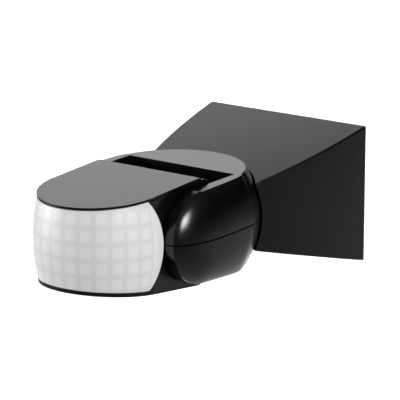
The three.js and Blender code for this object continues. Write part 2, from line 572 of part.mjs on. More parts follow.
function wiringParts() {
  const front = -PLATE_T - GAP;
  const body = ENTRY_R - 0.25;
  let grommet = add(
    rod(body, [0, front - 0.4, ENTRY_Z], [0, -0.3, ENTRY_Z], 24),
    rod(ENTRY_R + 2, [0, front - 2, ENTRY_Z], [0, front, ENTRY_Z], 24));
  grommet = cut(grommet, rod(3.6, [0, front - 3, ENTRY_Z], [0, 1, ENTRY_Z], 20));
  const pieces = [mesh('cable_grommet', grommet, '#3a3a3a', 0.85)];

  const poles = [-11.4, -3.8, 3.8, 11.4];
  let block = box(-16, 16, front - 13, front, 8, 20.5);
  for (const x of poles) {
    block = cut(block,
      rod(2.4, [x, front - 15, 14.5], [x, front - 8, 14.5], 14),
      rod(1.8, [x, front - 9, 6], [x, front - 9, 15], 10));
  }
  pieces.push(mesh('terminal_block', block, '#ded9ca', 0.5));
  poles.forEach((x, i) => {
    const stub = rod(2.1, [x, front - 12, 14.5], [x, front - 8.4, 14.5], 12);
    const slit = box(x - 3, x + 3, front - 13, front - 11, 14.2, 14.8);
    pieces.push(mesh(`terminal_screw_${i + 1}`, cut(stub, slit), STEEL, 0.35, 1));
  });

  const earth = cut(box(21, 30, front - 9, front, 8, 17), rod(1.9, [25.5, front - 10, 12.5], [25.5, front - 3, 12.5], 12),
    rod(1.8, [25.5, front - 3.4, 6], [25.5, front - 3.4, 13], 10));
  pieces.push(mesh('earth_clamp', earth, BRASS, 0.4, 1));
  pieces.push(screw('earth_screw', [25.5, front - 9.3, 12.5], [0, 1, 0], 1.6, 3.6, 3, 1.6));

  const strap = cut(box(-CLAMP_X - 3.7, CLAMP_X + 3.7, -11, -8 - GAP, CLAMP_Z - 3, CLAMP_Z + 3),
    rod(4.2, [0, -6.6, CLAMP_Z - 5], [0, -6.6, CLAMP_Z + 5], 16),
    rod(1.7, [CLAMP_X, -14, CLAMP_Z], [CLAMP_X, -5, CLAMP_Z], 10),
    rod(1.7, [-CLAMP_X, -14, CLAMP_Z], [-CLAMP_X, -5, CLAMP_Z], 10));
  pieces.push(mesh('cord_clamp', strap, '#d8d6cf', 0.5));
  for (const [side, x] of [['left', -CLAMP_X], ['right', CLAMP_X]]) {
    pieces.push(screw(`clamp_screw_${side}`, [x, -11.2, CLAMP_Z], [0, 1, 0], 1.2, 9, 2.6, 1.6));
  }
  for (const [side, x] of HOUSING_SCREWS) {
    pieces.push(screw(`housing_screw_${side}`, [x, HOUSING_SCREW_Y, -25.2], [0, 0, 1], 1.3, 8.5, 2.9, 1.8));
  }
  return pieces;
}

const group = new THREE.Group();
group.name = 'motion_sensor';
group.add(
  bracketHousing(), backPlate(), ...wiringParts(), ...swivelShoe(),
  ...yokeShells(), ...yokeHardware(),
  headBody(), headLid(), fresnelLens(), controlBoard(), ...headElectronics(), ...headScrews(),
  ...adjusters(),
);
export default group;
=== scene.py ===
import math

import bmesh
import bpy
import numpy as np
from mathutils import Matrix, Vector


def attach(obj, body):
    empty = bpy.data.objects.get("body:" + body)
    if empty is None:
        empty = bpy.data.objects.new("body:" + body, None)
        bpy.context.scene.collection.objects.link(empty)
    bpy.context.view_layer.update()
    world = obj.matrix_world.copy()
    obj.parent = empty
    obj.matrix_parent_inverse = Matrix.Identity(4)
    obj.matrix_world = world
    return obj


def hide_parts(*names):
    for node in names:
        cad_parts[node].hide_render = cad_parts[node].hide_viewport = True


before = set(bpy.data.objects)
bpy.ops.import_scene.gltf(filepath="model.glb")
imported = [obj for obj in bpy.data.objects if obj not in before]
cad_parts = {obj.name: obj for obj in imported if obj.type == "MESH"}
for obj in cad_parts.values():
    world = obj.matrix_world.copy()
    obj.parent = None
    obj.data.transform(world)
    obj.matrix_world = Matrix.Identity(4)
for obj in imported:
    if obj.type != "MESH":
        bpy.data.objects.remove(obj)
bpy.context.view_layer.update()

# ---------------------------------------------------------------------------
# Camera, floor and lights. The sensor is seen from its right front through a
# long lens, on a pale floor under soft studio light: a panel behind on the
# left, fills in front and left, a key on the right and two floor washes.
# ---------------------------------------------------------------------------
MM = 0.001
R = 26.0                       # half-width of the head, which the other sizes follow

CAMERA_TURN = math.radians(38.56)
CAMERA_RISE = math.radians(13.96)
CAMERA_AWAY = 38.32 * R * MM
CAMERA_LENS = 221.5
AIM = Vector((0.0, -3.0 * R * MM, 0.0))
AIM_RIGHT, AIM_UP = 0.435 * R * MM, 0.226 * R * MM

right = Vector((math.cos(CAMERA_TURN), math.sin(CAMERA_TURN), 0))
into = Vector((-math.sin(CAMERA_TURN) * math.cos(CAMERA_RISE),
               math.cos(CAMERA_TURN) * math.cos(CAMERA_RISE), -math.sin(CAMERA_RISE)))
up = right.cross(into)
camera = bpy.data.objects.new("camera", bpy.data.cameras.new("camera"))
camera.data.lens = CAMERA_LENS
camera.data.sensor_width = 36
camera.data.clip_start, camera.data.clip_end = 0.05, 60
place = AIM + right * AIM_RIGHT + up * AIM_UP - into * CAMERA_AWAY
camera.matrix_world = Matrix.Translation(place) @ Matrix((right, up, -into)).transposed().to_4x4()
bpy.context.scene.collection.objects.link(camera)
bpy.context.scene.camera = camera
bpy.context.scene.view_settings.view_transform = "Standard"


def linear(code):
    """an sRGB hex colour as linear red, green, blue and alpha"""
    levels = [int(code[i:i + 2], 16) / 255 for i in (1, 3, 5)]
    return [c / 12.92 if c <= 0.04045 else ((c + 0.055) / 1.055) ** 2.4 for c in levels] + [1.0]


def put(tree, kind, inputs=None, **settings):
    """adds a node; inputs maps a socket's name or number to a value or to another node's socket"""
    node = tree.nodes.new(kind)
    for name, value in settings.items():
        setattr(node, name, value)
    for key, value in (inputs or {}).items():
        if isinstance(value, bpy.types.NodeSocket):
            tree.links.new(value, node.inputs[key])
        else:
            node.inputs[key].default_value = value
    return node


def new_material(name):
    """an empty node material and its tree"""
    material = bpy.data.materials.new(name)
    material.use_nodes = True
    material.node_tree.nodes.clear()
    return material, material.node_tree


def finish_with(tree, shader, bump=None):
    """links a shader, with a bump if there is one, to the material's output"""
    if bump is not None:
        tree.links.new(bump.outputs[0], shader.inputs["Normal"])
    put(tree, "ShaderNodeOutputMaterial", {"Surface": shader.outputs[0]})


FLOOR_Z, FLOOR_HALF = -0.35, 14.0
floor_mesh = bpy.data.meshes.new("floor")
floor_mesh.from_pydata([(x * FLOOR_HALF, y * FLOOR_HALF, FLOOR_Z)
                        for x, y in ((-1, -1), (1, -1), (1, 1), (-1, 1))],
                       [], [(0, 1, 2, 3)])
floor = bpy.data.objects.new("floor", floor_mesh)
bpy.context.scene.collection.objects.link(floor)
paper, tree = new_material("matt_white_floor_paint")
matt = put(tree, "ShaderNodeBsdfPrincipled", {"Base Color": linear("#f6f6f6"), "Roughness": 0.9})
clear = put(tree, "ShaderNodeBsdfTransparent")
from_below = put(tree, "ShaderNodeNewGeometry").outputs["Backfacing"]
finish_with(tree, put(tree, "ShaderNodeMixShader", {0: from_below, 1: matt.outputs[0], 2: clear.outputs[0]}))
floor_mesh.materials.append(paper)

SKY_FROM = Vector((0.25, -0.45, 0.86)).normalized()
SKY_LOW, SKY_HIGH = 0.001, 0.15
world = bpy.data.worlds.new("studio")
bpy.context.scene.world = world
world.use_nodes = True
world.node_tree.nodes.clear()
tree = world.node_tree
towards = put(tree, "ShaderNodeTexCoord").outputs["Generated"]
facing = put(tree, "ShaderNodeVectorMath", {0: towards, 1: SKY_FROM}, operation="DOT_PRODUCT")
glow = put(tree, "ShaderNodeMapRange", {
    "Value": facing.outputs["Value"], "From Min": -0.25, "From Max": 0.95,
    "To Min": SKY_LOW, "To Max": SKY_HIGH}, interpolation_type="SMOOTHSTEP")
sky = put(tree, "ShaderNodeBackground", {"Color": linear("#ffffff"), "Strength": glow.outputs[0]})
put(tree, "ShaderNodeOutputWorld", {"Surface": sky.outputs[0]})

# name: turn from -Y towards +X, rise, metres away, width, height, brightness, spread of the beam
LAMPS = {
    "back_panel": (-140, 20, 1.6, 1.7, 0.85, 1.25, 180),
    "front_soft": (0, 55, 1.3, 0.7, 0.7, 0.34, 70),
    "left_fill": (-60, 3, 1.3, 0.9, 0.45, 2.1, 60),
    "right_key": (76, 23, 1.1, 0.58, 0.42, 1.25, 40),
}
for name, (turn, rise, away, wide, high, bright, spread) in LAMPS.items():
    lamp = bpy.data.lights.new(name, "AREA")
    lamp.shape, lamp.size, lamp.size_y = "RECTANGLE", wide, high
    lamp.energy = bright * math.pi * wide * high
    lamp.spread = math.radians(spread)
    turn, rise = math.radians(turn), math.radians(rise)
    out = Vector((math.sin(turn) * math.cos(rise), -math.cos(turn) * math.cos(rise), math.sin(rise)))
    holder = bpy.data.objects.new(name, lamp)
    holder.rotation_mode = "QUATERNION"
    holder.rotation_quaternion = out.to_track_quat("Z", "Y")
    holder.location = AIM + out * away
    holder.visible_camera = False
    bpy.context.scene.collection.objects.link(holder)

# name: X, Y, width, watts; one lights the floor behind the sensor, the other the floor that its
# right side mirrors
WASHES = {
    "floor_wash": (1.75 * into.x, 1.75 * into.y, 2.6, 12),
    "side_wash": (0.88, 1.09, 1.6, 1.3),
}
WASH_UP, WASH_DEEP, WASH_SPREAD = 1.5, 0.8, 40
for name, (x, y, wide, watts) in WASHES.items():
    wash = bpy.data.lights.new(name, "AREA")
    wash.shape, wash.size, wash.size_y, wash.energy = "RECTANGLE", wide, WASH_DEEP, watts
    wash.spread = math.radians(WASH_SPREAD)
    holder = bpy.data.objects.new(name, wash)
    holder.location = (x, y, WASH_UP)
    holder.rotation_euler = (0, 0, math.atan2(into.y, into.x))
    holder.visible_camera = False
    bpy.context.scene.collection.objects.link(holder)

# ---------------------------------------------------------------------------
# Bracket housing. A flared cover moulded in black ABS with a fine spark-eroded
# grain. Its flat top and bottom spread towards the wall, its sides curve out,
# and a round cup at the tip takes the ball of the fork.
# ---------------------------------------------------------------------------
SWIVEL_Y = -3.042 * R
BALL_R = 1.4 * R
CUP_R = BALL_R + 0.8
PLATE_X, PLATE_Z = 1.578 * R, 1.122 * R
BRACKET_KNOTS = [(-2.336 * R, 1.152 * R), (-1.258 * R, 1.425 * R), (0.0, PLATE_X)]
BRACKET_SLOPE = 0.2475
BRACKET_WALL = 2.4
BRACKET_ROUND = 0.8            # radius along the long edges
SHOE_SEAT_Y = SWIVEL_Y + CUP_R + BRACKET_WALL + 1
SHOE_SCREW_X = 6.2
HOUSING_SCREW_X, HOUSING_SCREW_Y = 24, -9
PAD_TOP = -22.6
FLAT = {"x": (1, 2, 0), "y": (0, 2, 1), "z": (0, 1, 2)}


def make(name, points, faces, merge=1e-7):
    """a linked mesh object from points in mm, its doubles merged and its faces turned outwards"""
    mesh = bpy.data.meshes.new(name)
    mesh.from_pydata([[c * MM for c in p] for p in points], [], faces)
    shape = bmesh.new()
    shape.from_mesh(mesh)
    bmesh.ops.remove_doubles(shape, verts=shape.verts, dist=merge)
    bmesh.ops.recalc_face_normals(shape, faces=shape.faces)
    shape.to_mesh(mesh)
    shape.free()
    piece = bpy.data.objects.new(name, mesh)
    bpy.context.scene.collection.objects.link(piece)
    return piece


def prism(outline, axis, low, high, name="cutter"):
    """an outline extruded along an axis: x takes (y, z), y takes (x, z), z takes (x, y)"""
    a, b, c = FLAT[axis]
    points = []
    for level in (low, high):
        for first, second in outline:
            point = [0.0, 0.0, 0.0]
            point[a], point[b], point[c] = first, second, level
            points.append(point)
    n = len(outline)
    sides = [[i, (i + 1) % n, n + (i + 1) % n, n + i] for i in range(n)]
    return make(name, points, [list(range(n)), list(range(n, 2 * n)), *sides])


def block(x0, x1, y0, y1, z0, z1):
    return prism([(x0, y0), (x1, y0), (x1, y1), (x0, y1)], "z", z0, z1)


def arc(cx, cy, radius, start, end, steps):
    """points on a circle from one angle to another, in degrees"""
    angles = np.radians(np.linspace(start, end, steps + 1))
    return [(cx + radius * math.cos(t), cy + radius * math.sin(t)) for t in angles]


def rod(radius, start, end, steps=48):
    """a round bar between two points in mm"""
    start, end = Vector(start), Vector(end)
    turn = (end - start).to_track_quat("Z", "Y")
    ring = [turn @ Vector((*p, 0)) for p in arc(0, 0, radius, 0, 360, steps)[:-1]]
    points = [start + p for p in ring] + [end + p for p in ring]
    sides = [[i, (i + 1) % steps, steps + (i + 1) % steps, steps + i] for i in range(steps)]
    return make("cutter", points, [list(range(steps)), list(range(steps, 2 * steps)), *sides])


def turned(profile, steps, centre=(0, 0, 0), axis="z", name="cutter"):
    """a profile of (radius, height) turned about an axis; it starts and ends on it or closes on itself"""
    a, b, c = FLAT[axis]
    points = []
    for k in range(steps):
        t = 2 * math.pi * k / steps
        for radius, height in profile:
            point = list(centre)
            point[a] += radius * math.cos(t)
            point[b] += radius * math.sin(t)
            point[c] += height
            points.append(point)
    n = len(profile)
    closed = profile[0][0] > 1e-9
    faces = []
    for k in range(steps):
        for i in range(n if closed else n - 1):
            j = (i + 1) % n
            near, far = k * n, (k + 1) % steps * n
            faces.append([near + i, far + i, far + j, near + j])
    return make(name, points, faces)


def ball(radius, steps=96):
    """a sphere about the swivel centre, its poles on the vertical axis"""
    profile = [(radius * math.sin(t), radius * math.cos(t)) for t in np.linspace(0, math.pi, steps // 2 + 1)]
    profile[0], profile[-1] = (0.0, radius), (0.0, -radius)
    return turned(profile, steps, (0, SWIVEL_Y, 0))


def settle(piece):
    """the modifiers' result becomes the piece's own mesh"""
    graph = bpy.context.evaluated_depsgraph_get()
    mesh = bpy.data.meshes.new_from_object(piece.evaluated_get(graph), depsgraph=graph)
    piece.modifiers.clear()
    piece.data = mesh
    return piece


def carve(piece, *tools, operation="DIFFERENCE"):
    """cuts, joins or intersects a piece with others, which are used up"""
    for tool in tools:
        step = piece.modifiers.new("carve", "BOOLEAN")
        step.solver, step.operation, step.object = "MANIFOLD", operation, tool
        settle(piece)
        bpy.data.objects.remove(tool)
    return piece


def join(piece, *others):
    return carve(piece, *others, operation="UNION")


def meet(piece, *others):
    return carve(piece, *others, operation="INTERSECT")


def round_edges(piece, width, sharper_than=40, segments=3, share=None):
    """rounds edges sharper than an angle; share says how much of the width an edge at a point gets"""
    shape = bmesh.new()
    shape.from_mesh(piece.data)
    weight = shape.edges.layers.float.new("bevel_weight_edge")
    for edge in shape.edges:
        if edge.is_manifold and edge.calc_face_angle() > math.radians(sharper_than):
            middle = (edge.verts[0].co + edge.verts[1].co) / 2
            edge[weight] = share(middle) if share else 1.0
    shape.to_mesh(piece.data)
    shape.free()
    step = piece.modifiers.new("round", "BEVEL")
    step.width, step.segments, step.limit_method = width * MM, segments, "WEIGHT"
    return settle(piece)


def shade(piece, material, sharp=38):
    """smooth shading that keeps flat faces flat, and one material all over"""
    piece.data.materials.clear()
    piece.data.materials.append(material)
    piece.data.polygons.foreach_set("material_index", [0] * len(piece.data.polygons))
    piece.data.shade_smooth()
    piece.data.set_sharp_from_angle(angle=math.radians(sharp))
    step = piece.modifiers.new("weigh", "WEIGHTED_NORMAL")
    step.keep_sharp, step.weight = True, 80
    return settle(piece)


def keep(piece, name, body, slot, *nodes):
    """names a finished piece, ties it to its body and lets it stand for CAD nodes"""
    piece.name = name
    piece.data.name = name
    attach(piece, body)
    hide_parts(*nodes)
    return piece


def moulded_plastic(name, low, high, rough, grain, depth):
    """a moulded plastic: two close tones in soft patches, uneven gloss and an eroded grain in mm"""
    material, tree = new_material(name)
    place = put(tree, "ShaderNodeTexCoord").outputs["Object"]
    patch = put(tree, "ShaderNodeTexNoise", {"Vector": place, "Scale": 1 / (14 * MM), "Detail": 3.0})
    flow = put(tree, "ShaderNodeTexNoise", {"Vector": place, "Scale": 1 / (3.5 * MM), "Detail": 4.0,
                                            "Roughness": 0.6})
    eroded = put(tree, "ShaderNodeTexNoise", {"Vector": place, "Scale": 1 / (grain * MM), "Detail": 2.0})
    tone = put(tree, "ShaderNodeMix", {0: patch.outputs[0], 6: linear(low), 7: linear(high)}, data_type="RGBA")
    gloss = put(tree, "ShaderNodeMapRange", {0: flow.outputs[0], 1: 0.3, 2: 0.7, 3: rough[0], 4: rough[1]})
    bump = put(tree, "ShaderNodeBump", {"Height": eroded.outputs[0], "Strength": 0.35, "Distance": depth * MM})
    shader = put(tree, "ShaderNodeBsdfPrincipled", {"Base Color": tone.outputs[2], "Roughness": gloss.outputs[0],
                                                    "IOR": 1.5})
    finish_with(tree, shader, bump)
    return material


# satin ABS: nearly black, with a grain of about 0.2 mm drawn a little coarse so that it shows
satin_abs = moulded_plastic("satin_black_abs", "#030303", "#060606", (0.21, 0.23), 0.45, 0.004)


def bracket_x(y):
    """half-width of the bracket: a parabola through its tip, middle and wall edge"""
    (ya, xa), (yb, xb), (yc, xc) = BRACKET_KNOTS
    return (xa * (y - yb) * (y - yc) / ((ya - yb) * (ya - yc)) + xb * (y - ya) * (y - yc) / ((yb - ya) * (yb - yc))
            + xc * (y - ya) * (y - yb) / ((yc - ya) * (yc - yb)))


def bracket_z(y):
    return PLATE_Z + BRACKET_SLOPE * y


def bracket_block(inset, back, steps):
    """the flared wedge, moved in by a wall thickness, closed at the back"""
    front = BRACKET_KNOTS[0][0] - 4
    ys = np.linspace(front, back, steps + 1)
    plan = [(bracket_x(y) - inset, y) for y in ys] + [(inset - bracket_x(y), y) for y in ys[::-1]]
    side = [(front, inset - bracket_z(front)), (back, inset - bracket_z(back)),
            (back, bracket_z(back) - inset), (front, bracket_z(front) - inset)]
    return meet(prism(plan, "z", -60, 60), prism(side, "x", -60, 60))


housing = round_edges(bracket_block(0, 0, 40), BRACKET_ROUND)
hollow = carve(bracket_block(BRACKET_WALL, 2, 16), ball(CUP_R + BRACKET_WALL, 64))
for x in (-HOUSING_SCREW_X, HOUSING_SCREW_X):
    carve(hollow, block(x - 5, x + 5, HOUSING_SCREW_Y - 5, HOUSING_SCREW_Y + 4.5, -30, PAD_TOP))
carve(hollow, block(-SHOE_SCREW_X - 3.4, SHOE_SCREW_X + 3.4, SWIVEL_Y + CUP_R - 4, SHOE_SEAT_Y, -4, 4))
carve(housing, hollow, ball(CUP_R, 128))
for x, radius in ((-SHOE_SCREW_X, 1.6), (0, 2.9), (SHOE_SCREW_X, 1.6)):
    carve(housing, rod(radius, (x, SWIVEL_Y + CUP_R - 9, 0), (x, SHOE_SEAT_Y + 4, 0), 24))
for x in (-HOUSING_SCREW_X, HOUSING_SCREW_X):
    carve(housing, rod(3.2, (x, HOUSING_SCREW_Y, -40), (x, HOUSING_SCREW_Y, -25)),
          rod(1.9, (x, HOUSING_SCREW_Y, -40), (x, HOUSING_SCREW_Y, -15), 24))
shade(housing, satin_abs)
keep(housing, "bracket_cover", "bracket", "abs_black", "bracket_housing")

# ---------------------------------------------------------------------------
# Back plate. A flat ABS moulding that screws to the wall and clips into the
# cover, with a shallow recessed field, ejector marks, two upright wall slots,
# a cable entry, and pads and pillars for the screws on its inner side.
# ---------------------------------------------------------------------------
PLATE_T = 3.0
PLATE_GAP = 0.3
PLATE_BORDER, FIELD_DEPTH = 3.2, 0.5
WALL_SLOT_X, WALL_SLOT_R, WALL_SLOT_RISE = 30, 2.6, 2.5
ENTRY_Z, ENTRY_R = -11, 6.5
CLAMP_X, CLAMP_Z = 11, -18


def rectangle(half_x, half_z, corner, steps=8):
    """a rectangle in x and z with round corners"""
    corners = [(1, 1, 0), (-1, 1, 90), (-1, -1, 180), (1, -1, 270)]
    return [p for sx, sz, start in corners
            for p in arc(sx * (half_x - corner), sz * (half_z - corner), corner, start, start + 90, steps)]


plate_inset = BRACKET_WALL + PLATE_GAP
plate_half_x = bracket_x(0) - plate_inset - 0.2
plate_half_z = bracket_z(-PLATE_T) - plate_inset
plate = round_edges(prism(rectangle(plate_half_x, plate_half_z, 0.8), "y", -PLATE_T, 0), 0.35)
field = rectangle(plate_half_x - PLATE_BORDER, plate_half_z - PLATE_BORDER, 3)
carve(plate, prism(field, "y", -FIELD_DEPTH, 1))
rims = [rod(ENTRY_R + 2.4, (0, -1, ENTRY_Z), (0, 0, ENTRY_Z), 64)]
for x in (-WALL_SLOT_X, WALL_SLOT_X):
    ends = arc(x, WALL_SLOT_RISE, 5.4, 0, 180, 24) + arc(x, -WALL_SLOT_RISE, 5.4, 180, 360, 24)
    rims.append(prism(ends, "y", -1, 0))
join(plate, *[round_edges(rim, 0.2) for rim in rims])
for x in (-HOUSING_SCREW_X, HOUSING_SCREW_X):
    join(plate, block(x - 4, x + 4, HOUSING_SCREW_Y - 4, 0.5 - PLATE_T, PAD_TOP + PLATE_GAP, PAD_TOP + 8))
    carve(plate, rod(1.5, (x, HOUSING_SCREW_Y, PAD_TOP - 2), (x, HOUSING_SCREW_Y, PAD_TOP + 7), 24))
for x in (-CLAMP_X, CLAMP_X):
    join(plate, rod(3.2, (x, -8, CLAMP_Z), (x, 0.5 - PLATE_T, CLAMP_Z), 32))
    carve(plate, rod(1.4, (x, -10, CLAMP_Z), (x, -1.2, CLAMP_Z), 24))
for x in (-WALL_SLOT_X, WALL_SLOT_X):
    slot_ends = (arc(x, WALL_SLOT_RISE, WALL_SLOT_R, 0, 180, 24)
                 + arc(x, -WALL_SLOT_RISE, WALL_SLOT_R, 180, 360, 24))
    carve(plate, prism(slot_ends, "y", -10, 2))
carve(plate, rod(ENTRY_R, (0, -10, ENTRY_Z), (0, 2, ENTRY_Z), 64))
for x, z in ((-17, 17), (17, 17), (-17, -4), (17, -4), (0, 12)):
    carve(plate, rod(2.2, (x, -FIELD_DEPTH - 0.15, z), (x, 1, z), 32))
# the same ABS from a plain steel mould: greyer and duller than the grained outside
plain_abs = moulded_plastic("plain_black_abs", "#1c1c1d", "#242425", (0.45, 0.6), 0.9, 0.012)
keep(shade(plate, plain_abs), "wall_plate", "bracket", "plate_black", "back_plate")

# ---------------------------------------------------------------------------
# Cable grommet. A soft rubber bush pushed through the plate, with a lip inside,
# a stepped outer face and a tapered hole that grips the cable.
# ---------------------------------------------------------------------------
GROMMET_HOLE = 3.6
GROMMET_BODY = ENTRY_R - 0.25
GROMMET_LIP = -PLATE_T - PLATE_GAP
grommet_profile = [(GROMMET_HOLE, GROMMET_LIP - 1.6), (GROMMET_HOLE + 0.4, GROMMET_LIP - 2),
                   (ENTRY_R + 1.6, GROMMET_LIP - 2), (ENTRY_R + 2, GROMMET_LIP - 1.6),
                   (ENTRY_R + 2, GROMMET_LIP - 0.4), (ENTRY_R + 1.6, GROMMET_LIP), (GROMMET_BODY, GROMMET_LIP),
                   (GROMMET_BODY, -0.6), (GROMMET_BODY - 0.3, -0.3), (5.4, -0.3), (5.1, -0.9), (4.4, -0.9),
                   (4.1, -0.5), (GROMMET_HOLE + 0.2, -0.5), (GROMMET_HOLE, -0.7)]
grommet = turned(grommet_profile, 64, (0, 0, ENTRY_Z), "y")
rubber = moulded_plastic("soft_black_rubber", "#262626", "#303030", (0.6, 0.8), 1.2, 0.015)
keep(shade(grommet, rubber, 50), "grommet", "bracket", "rubber", "cable_grommet")

# ---------------------------------------------------------------------------
# Wiring inside the bracket: terminal block, earth clamp, cord clamp and the
# shoe that holds the ball. They stay as they are made and get their finishes:
# pale nylon with a waxy surface, plain brass and zinc-plated steel.
# ---------------------------------------------------------------------------
def metal(name, low, high, rough, stretch):
    """a metal with fine turning or rolling lines and faint stains; stretch is the line spacing in mm"""
    material, tree = new_material(name)
    place = put(tree, "ShaderNodeTexCoord").outputs["Object"]
    lines = put(tree, "ShaderNodeMapping", {"Vector": place, "Scale": (1, 1, 7)})
    brushed = put(tree, "ShaderNodeTexNoise", {"Vector": lines.outputs[0], "Scale": 1 / (stretch * MM), "Detail": 2.0})
    stain = put(tree, "ShaderNodeTexNoise", {"Vector": place, "Scale": 1 / (2.5 * MM), "Detail": 4.0})
    tone = put(tree, "ShaderNodeMix", {0: stain.outputs[0], 6: linear(low), 7: linear(high)}, data_type="RGBA")
    gloss = put(tree, "ShaderNodeMapRange", {0: brushed.outputs[0], 1: 0.3, 2: 0.7, 3: rough[0], 4: rough[1]})
    bump = put(tree, "ShaderNodeBump", {"Height": brushed.outputs[0], "Strength": 0.2, "Distance": 0.01 * MM})
    shader = put(tree, "ShaderNodeBsdfPrincipled", {"Base Color": tone.outputs[2], "Metallic": 1.0,
                                                    "Roughness": gloss.outputs[0]})
    finish_with(tree, shader, bump)
    return material


nylon = moulded_plastic("natural_nylon", "#cfcbbf", "#ddd9cd", (0.35, 0.5), 1.0, 0.01)
zinc_steel = metal("zinc_plated_steel", "#8f9296", "#b2b4b6", (0.22, 0.38), 0.35)
brass = metal("plain_brass", "#a8853a", "#c9a556", (0.25, 0.4), 0.35)


def finish_nodes(material, *names):
    """gives CAD nodes that stay as they are their material"""
    for name in names:
        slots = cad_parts[name].data.materials
        slots.clear()
        slots.append(material)


finish_nodes(nylon, "terminal_block", "cord_clamp", "swivel_shoe")
finish_nodes(brass, "earth_clamp", "tilt_nut_left", "tilt_nut_right")
finish_nodes(zinc_steel, "tilt_pivot_left", "tilt_pivot_right")

# ---------------------------------------------------------------------------
# Fork. Two mirrored ABS shells meet at mid-height in a fine open seam. Each has
# two arms with rounded noses and swollen cheeks, which end in a small step
# where the ball begins. A rim as flat as the top runs down round each nose.
# ---------------------------------------------------------------------------
TILT_Y = -3.75 * R
ARM_BACK_Y = -2.69 * R
YOKE_Z, YOKE_SLOPE = 0.746 * R, 0.042
SLOT_X, SLOT_Y = 1.05 * R, -2.769 * R
NOSE_R = 0.725 * R
CHEEK_Y, CHEEK_X = -3.85 * R, 0.411 * R
CHEEK_REAR = 1.74 * R
CHEEK_STEP = 0.3               # an arm's rear edge stands this far out of the ball
RIM_X = 0.107 * R              # width of the rim round the nose
RIM_ROOM = 0.02 * R            # the bulge would end this far beyond the rim
YOKE_WALL, SLOT_WALL = 2.2, 3.2
YOKE_ROUND = 2.4               # the roundest edge, under the back of the fork
SEAM = 0.28                    # half the width of the seam
STEP_DEEP = 0.45
NECK_X, NECK_Z = 9, 5.2
SHOE_R = BALL_R - 3
WINDOW_TURN = 30               # turn each way that the neck window leaves room for
TRUNNION_R = 6.5
YOKE_SCREW_X, YOKE_SCREW_Y = 24, -65.4


def yoke_top(y):
    return YOKE_Z + YOKE_SLOPE * (y - SWIVEL_Y)


def cheek(y, z):
    """half-width of an arm: a bulge that rises from a rim of even width and runs back into the ball"""
    behind = np.sqrt(1 - (np.maximum(0, y - CHEEK_Y) / CHEEK_REAR) ** 2)
    along = np.clip((y - CHEEK_Y) / (ARM_BACK_Y - CHEEK_Y), 0, 1) ** 6
    tall = NOSE_R + RIM_ROOM + YOKE_SLOPE * np.maximum(0, y - TILT_Y)
    level = 1 - (np.hypot(np.minimum(0, y - TILT_Y), z) / tall) ** 2
    bulge = SLOT_X + (RIM_X + (CHEEK_X - RIM_X) * np.sqrt(np.maximum(0, level))) * behind
    ball_x = np.sqrt(np.maximum(0, BALL_R ** 2 - (y - SWIVEL_Y) ** 2 - z ** 2))
    return bulge + (ball_x + CHEEK_STEP - bulge) * along


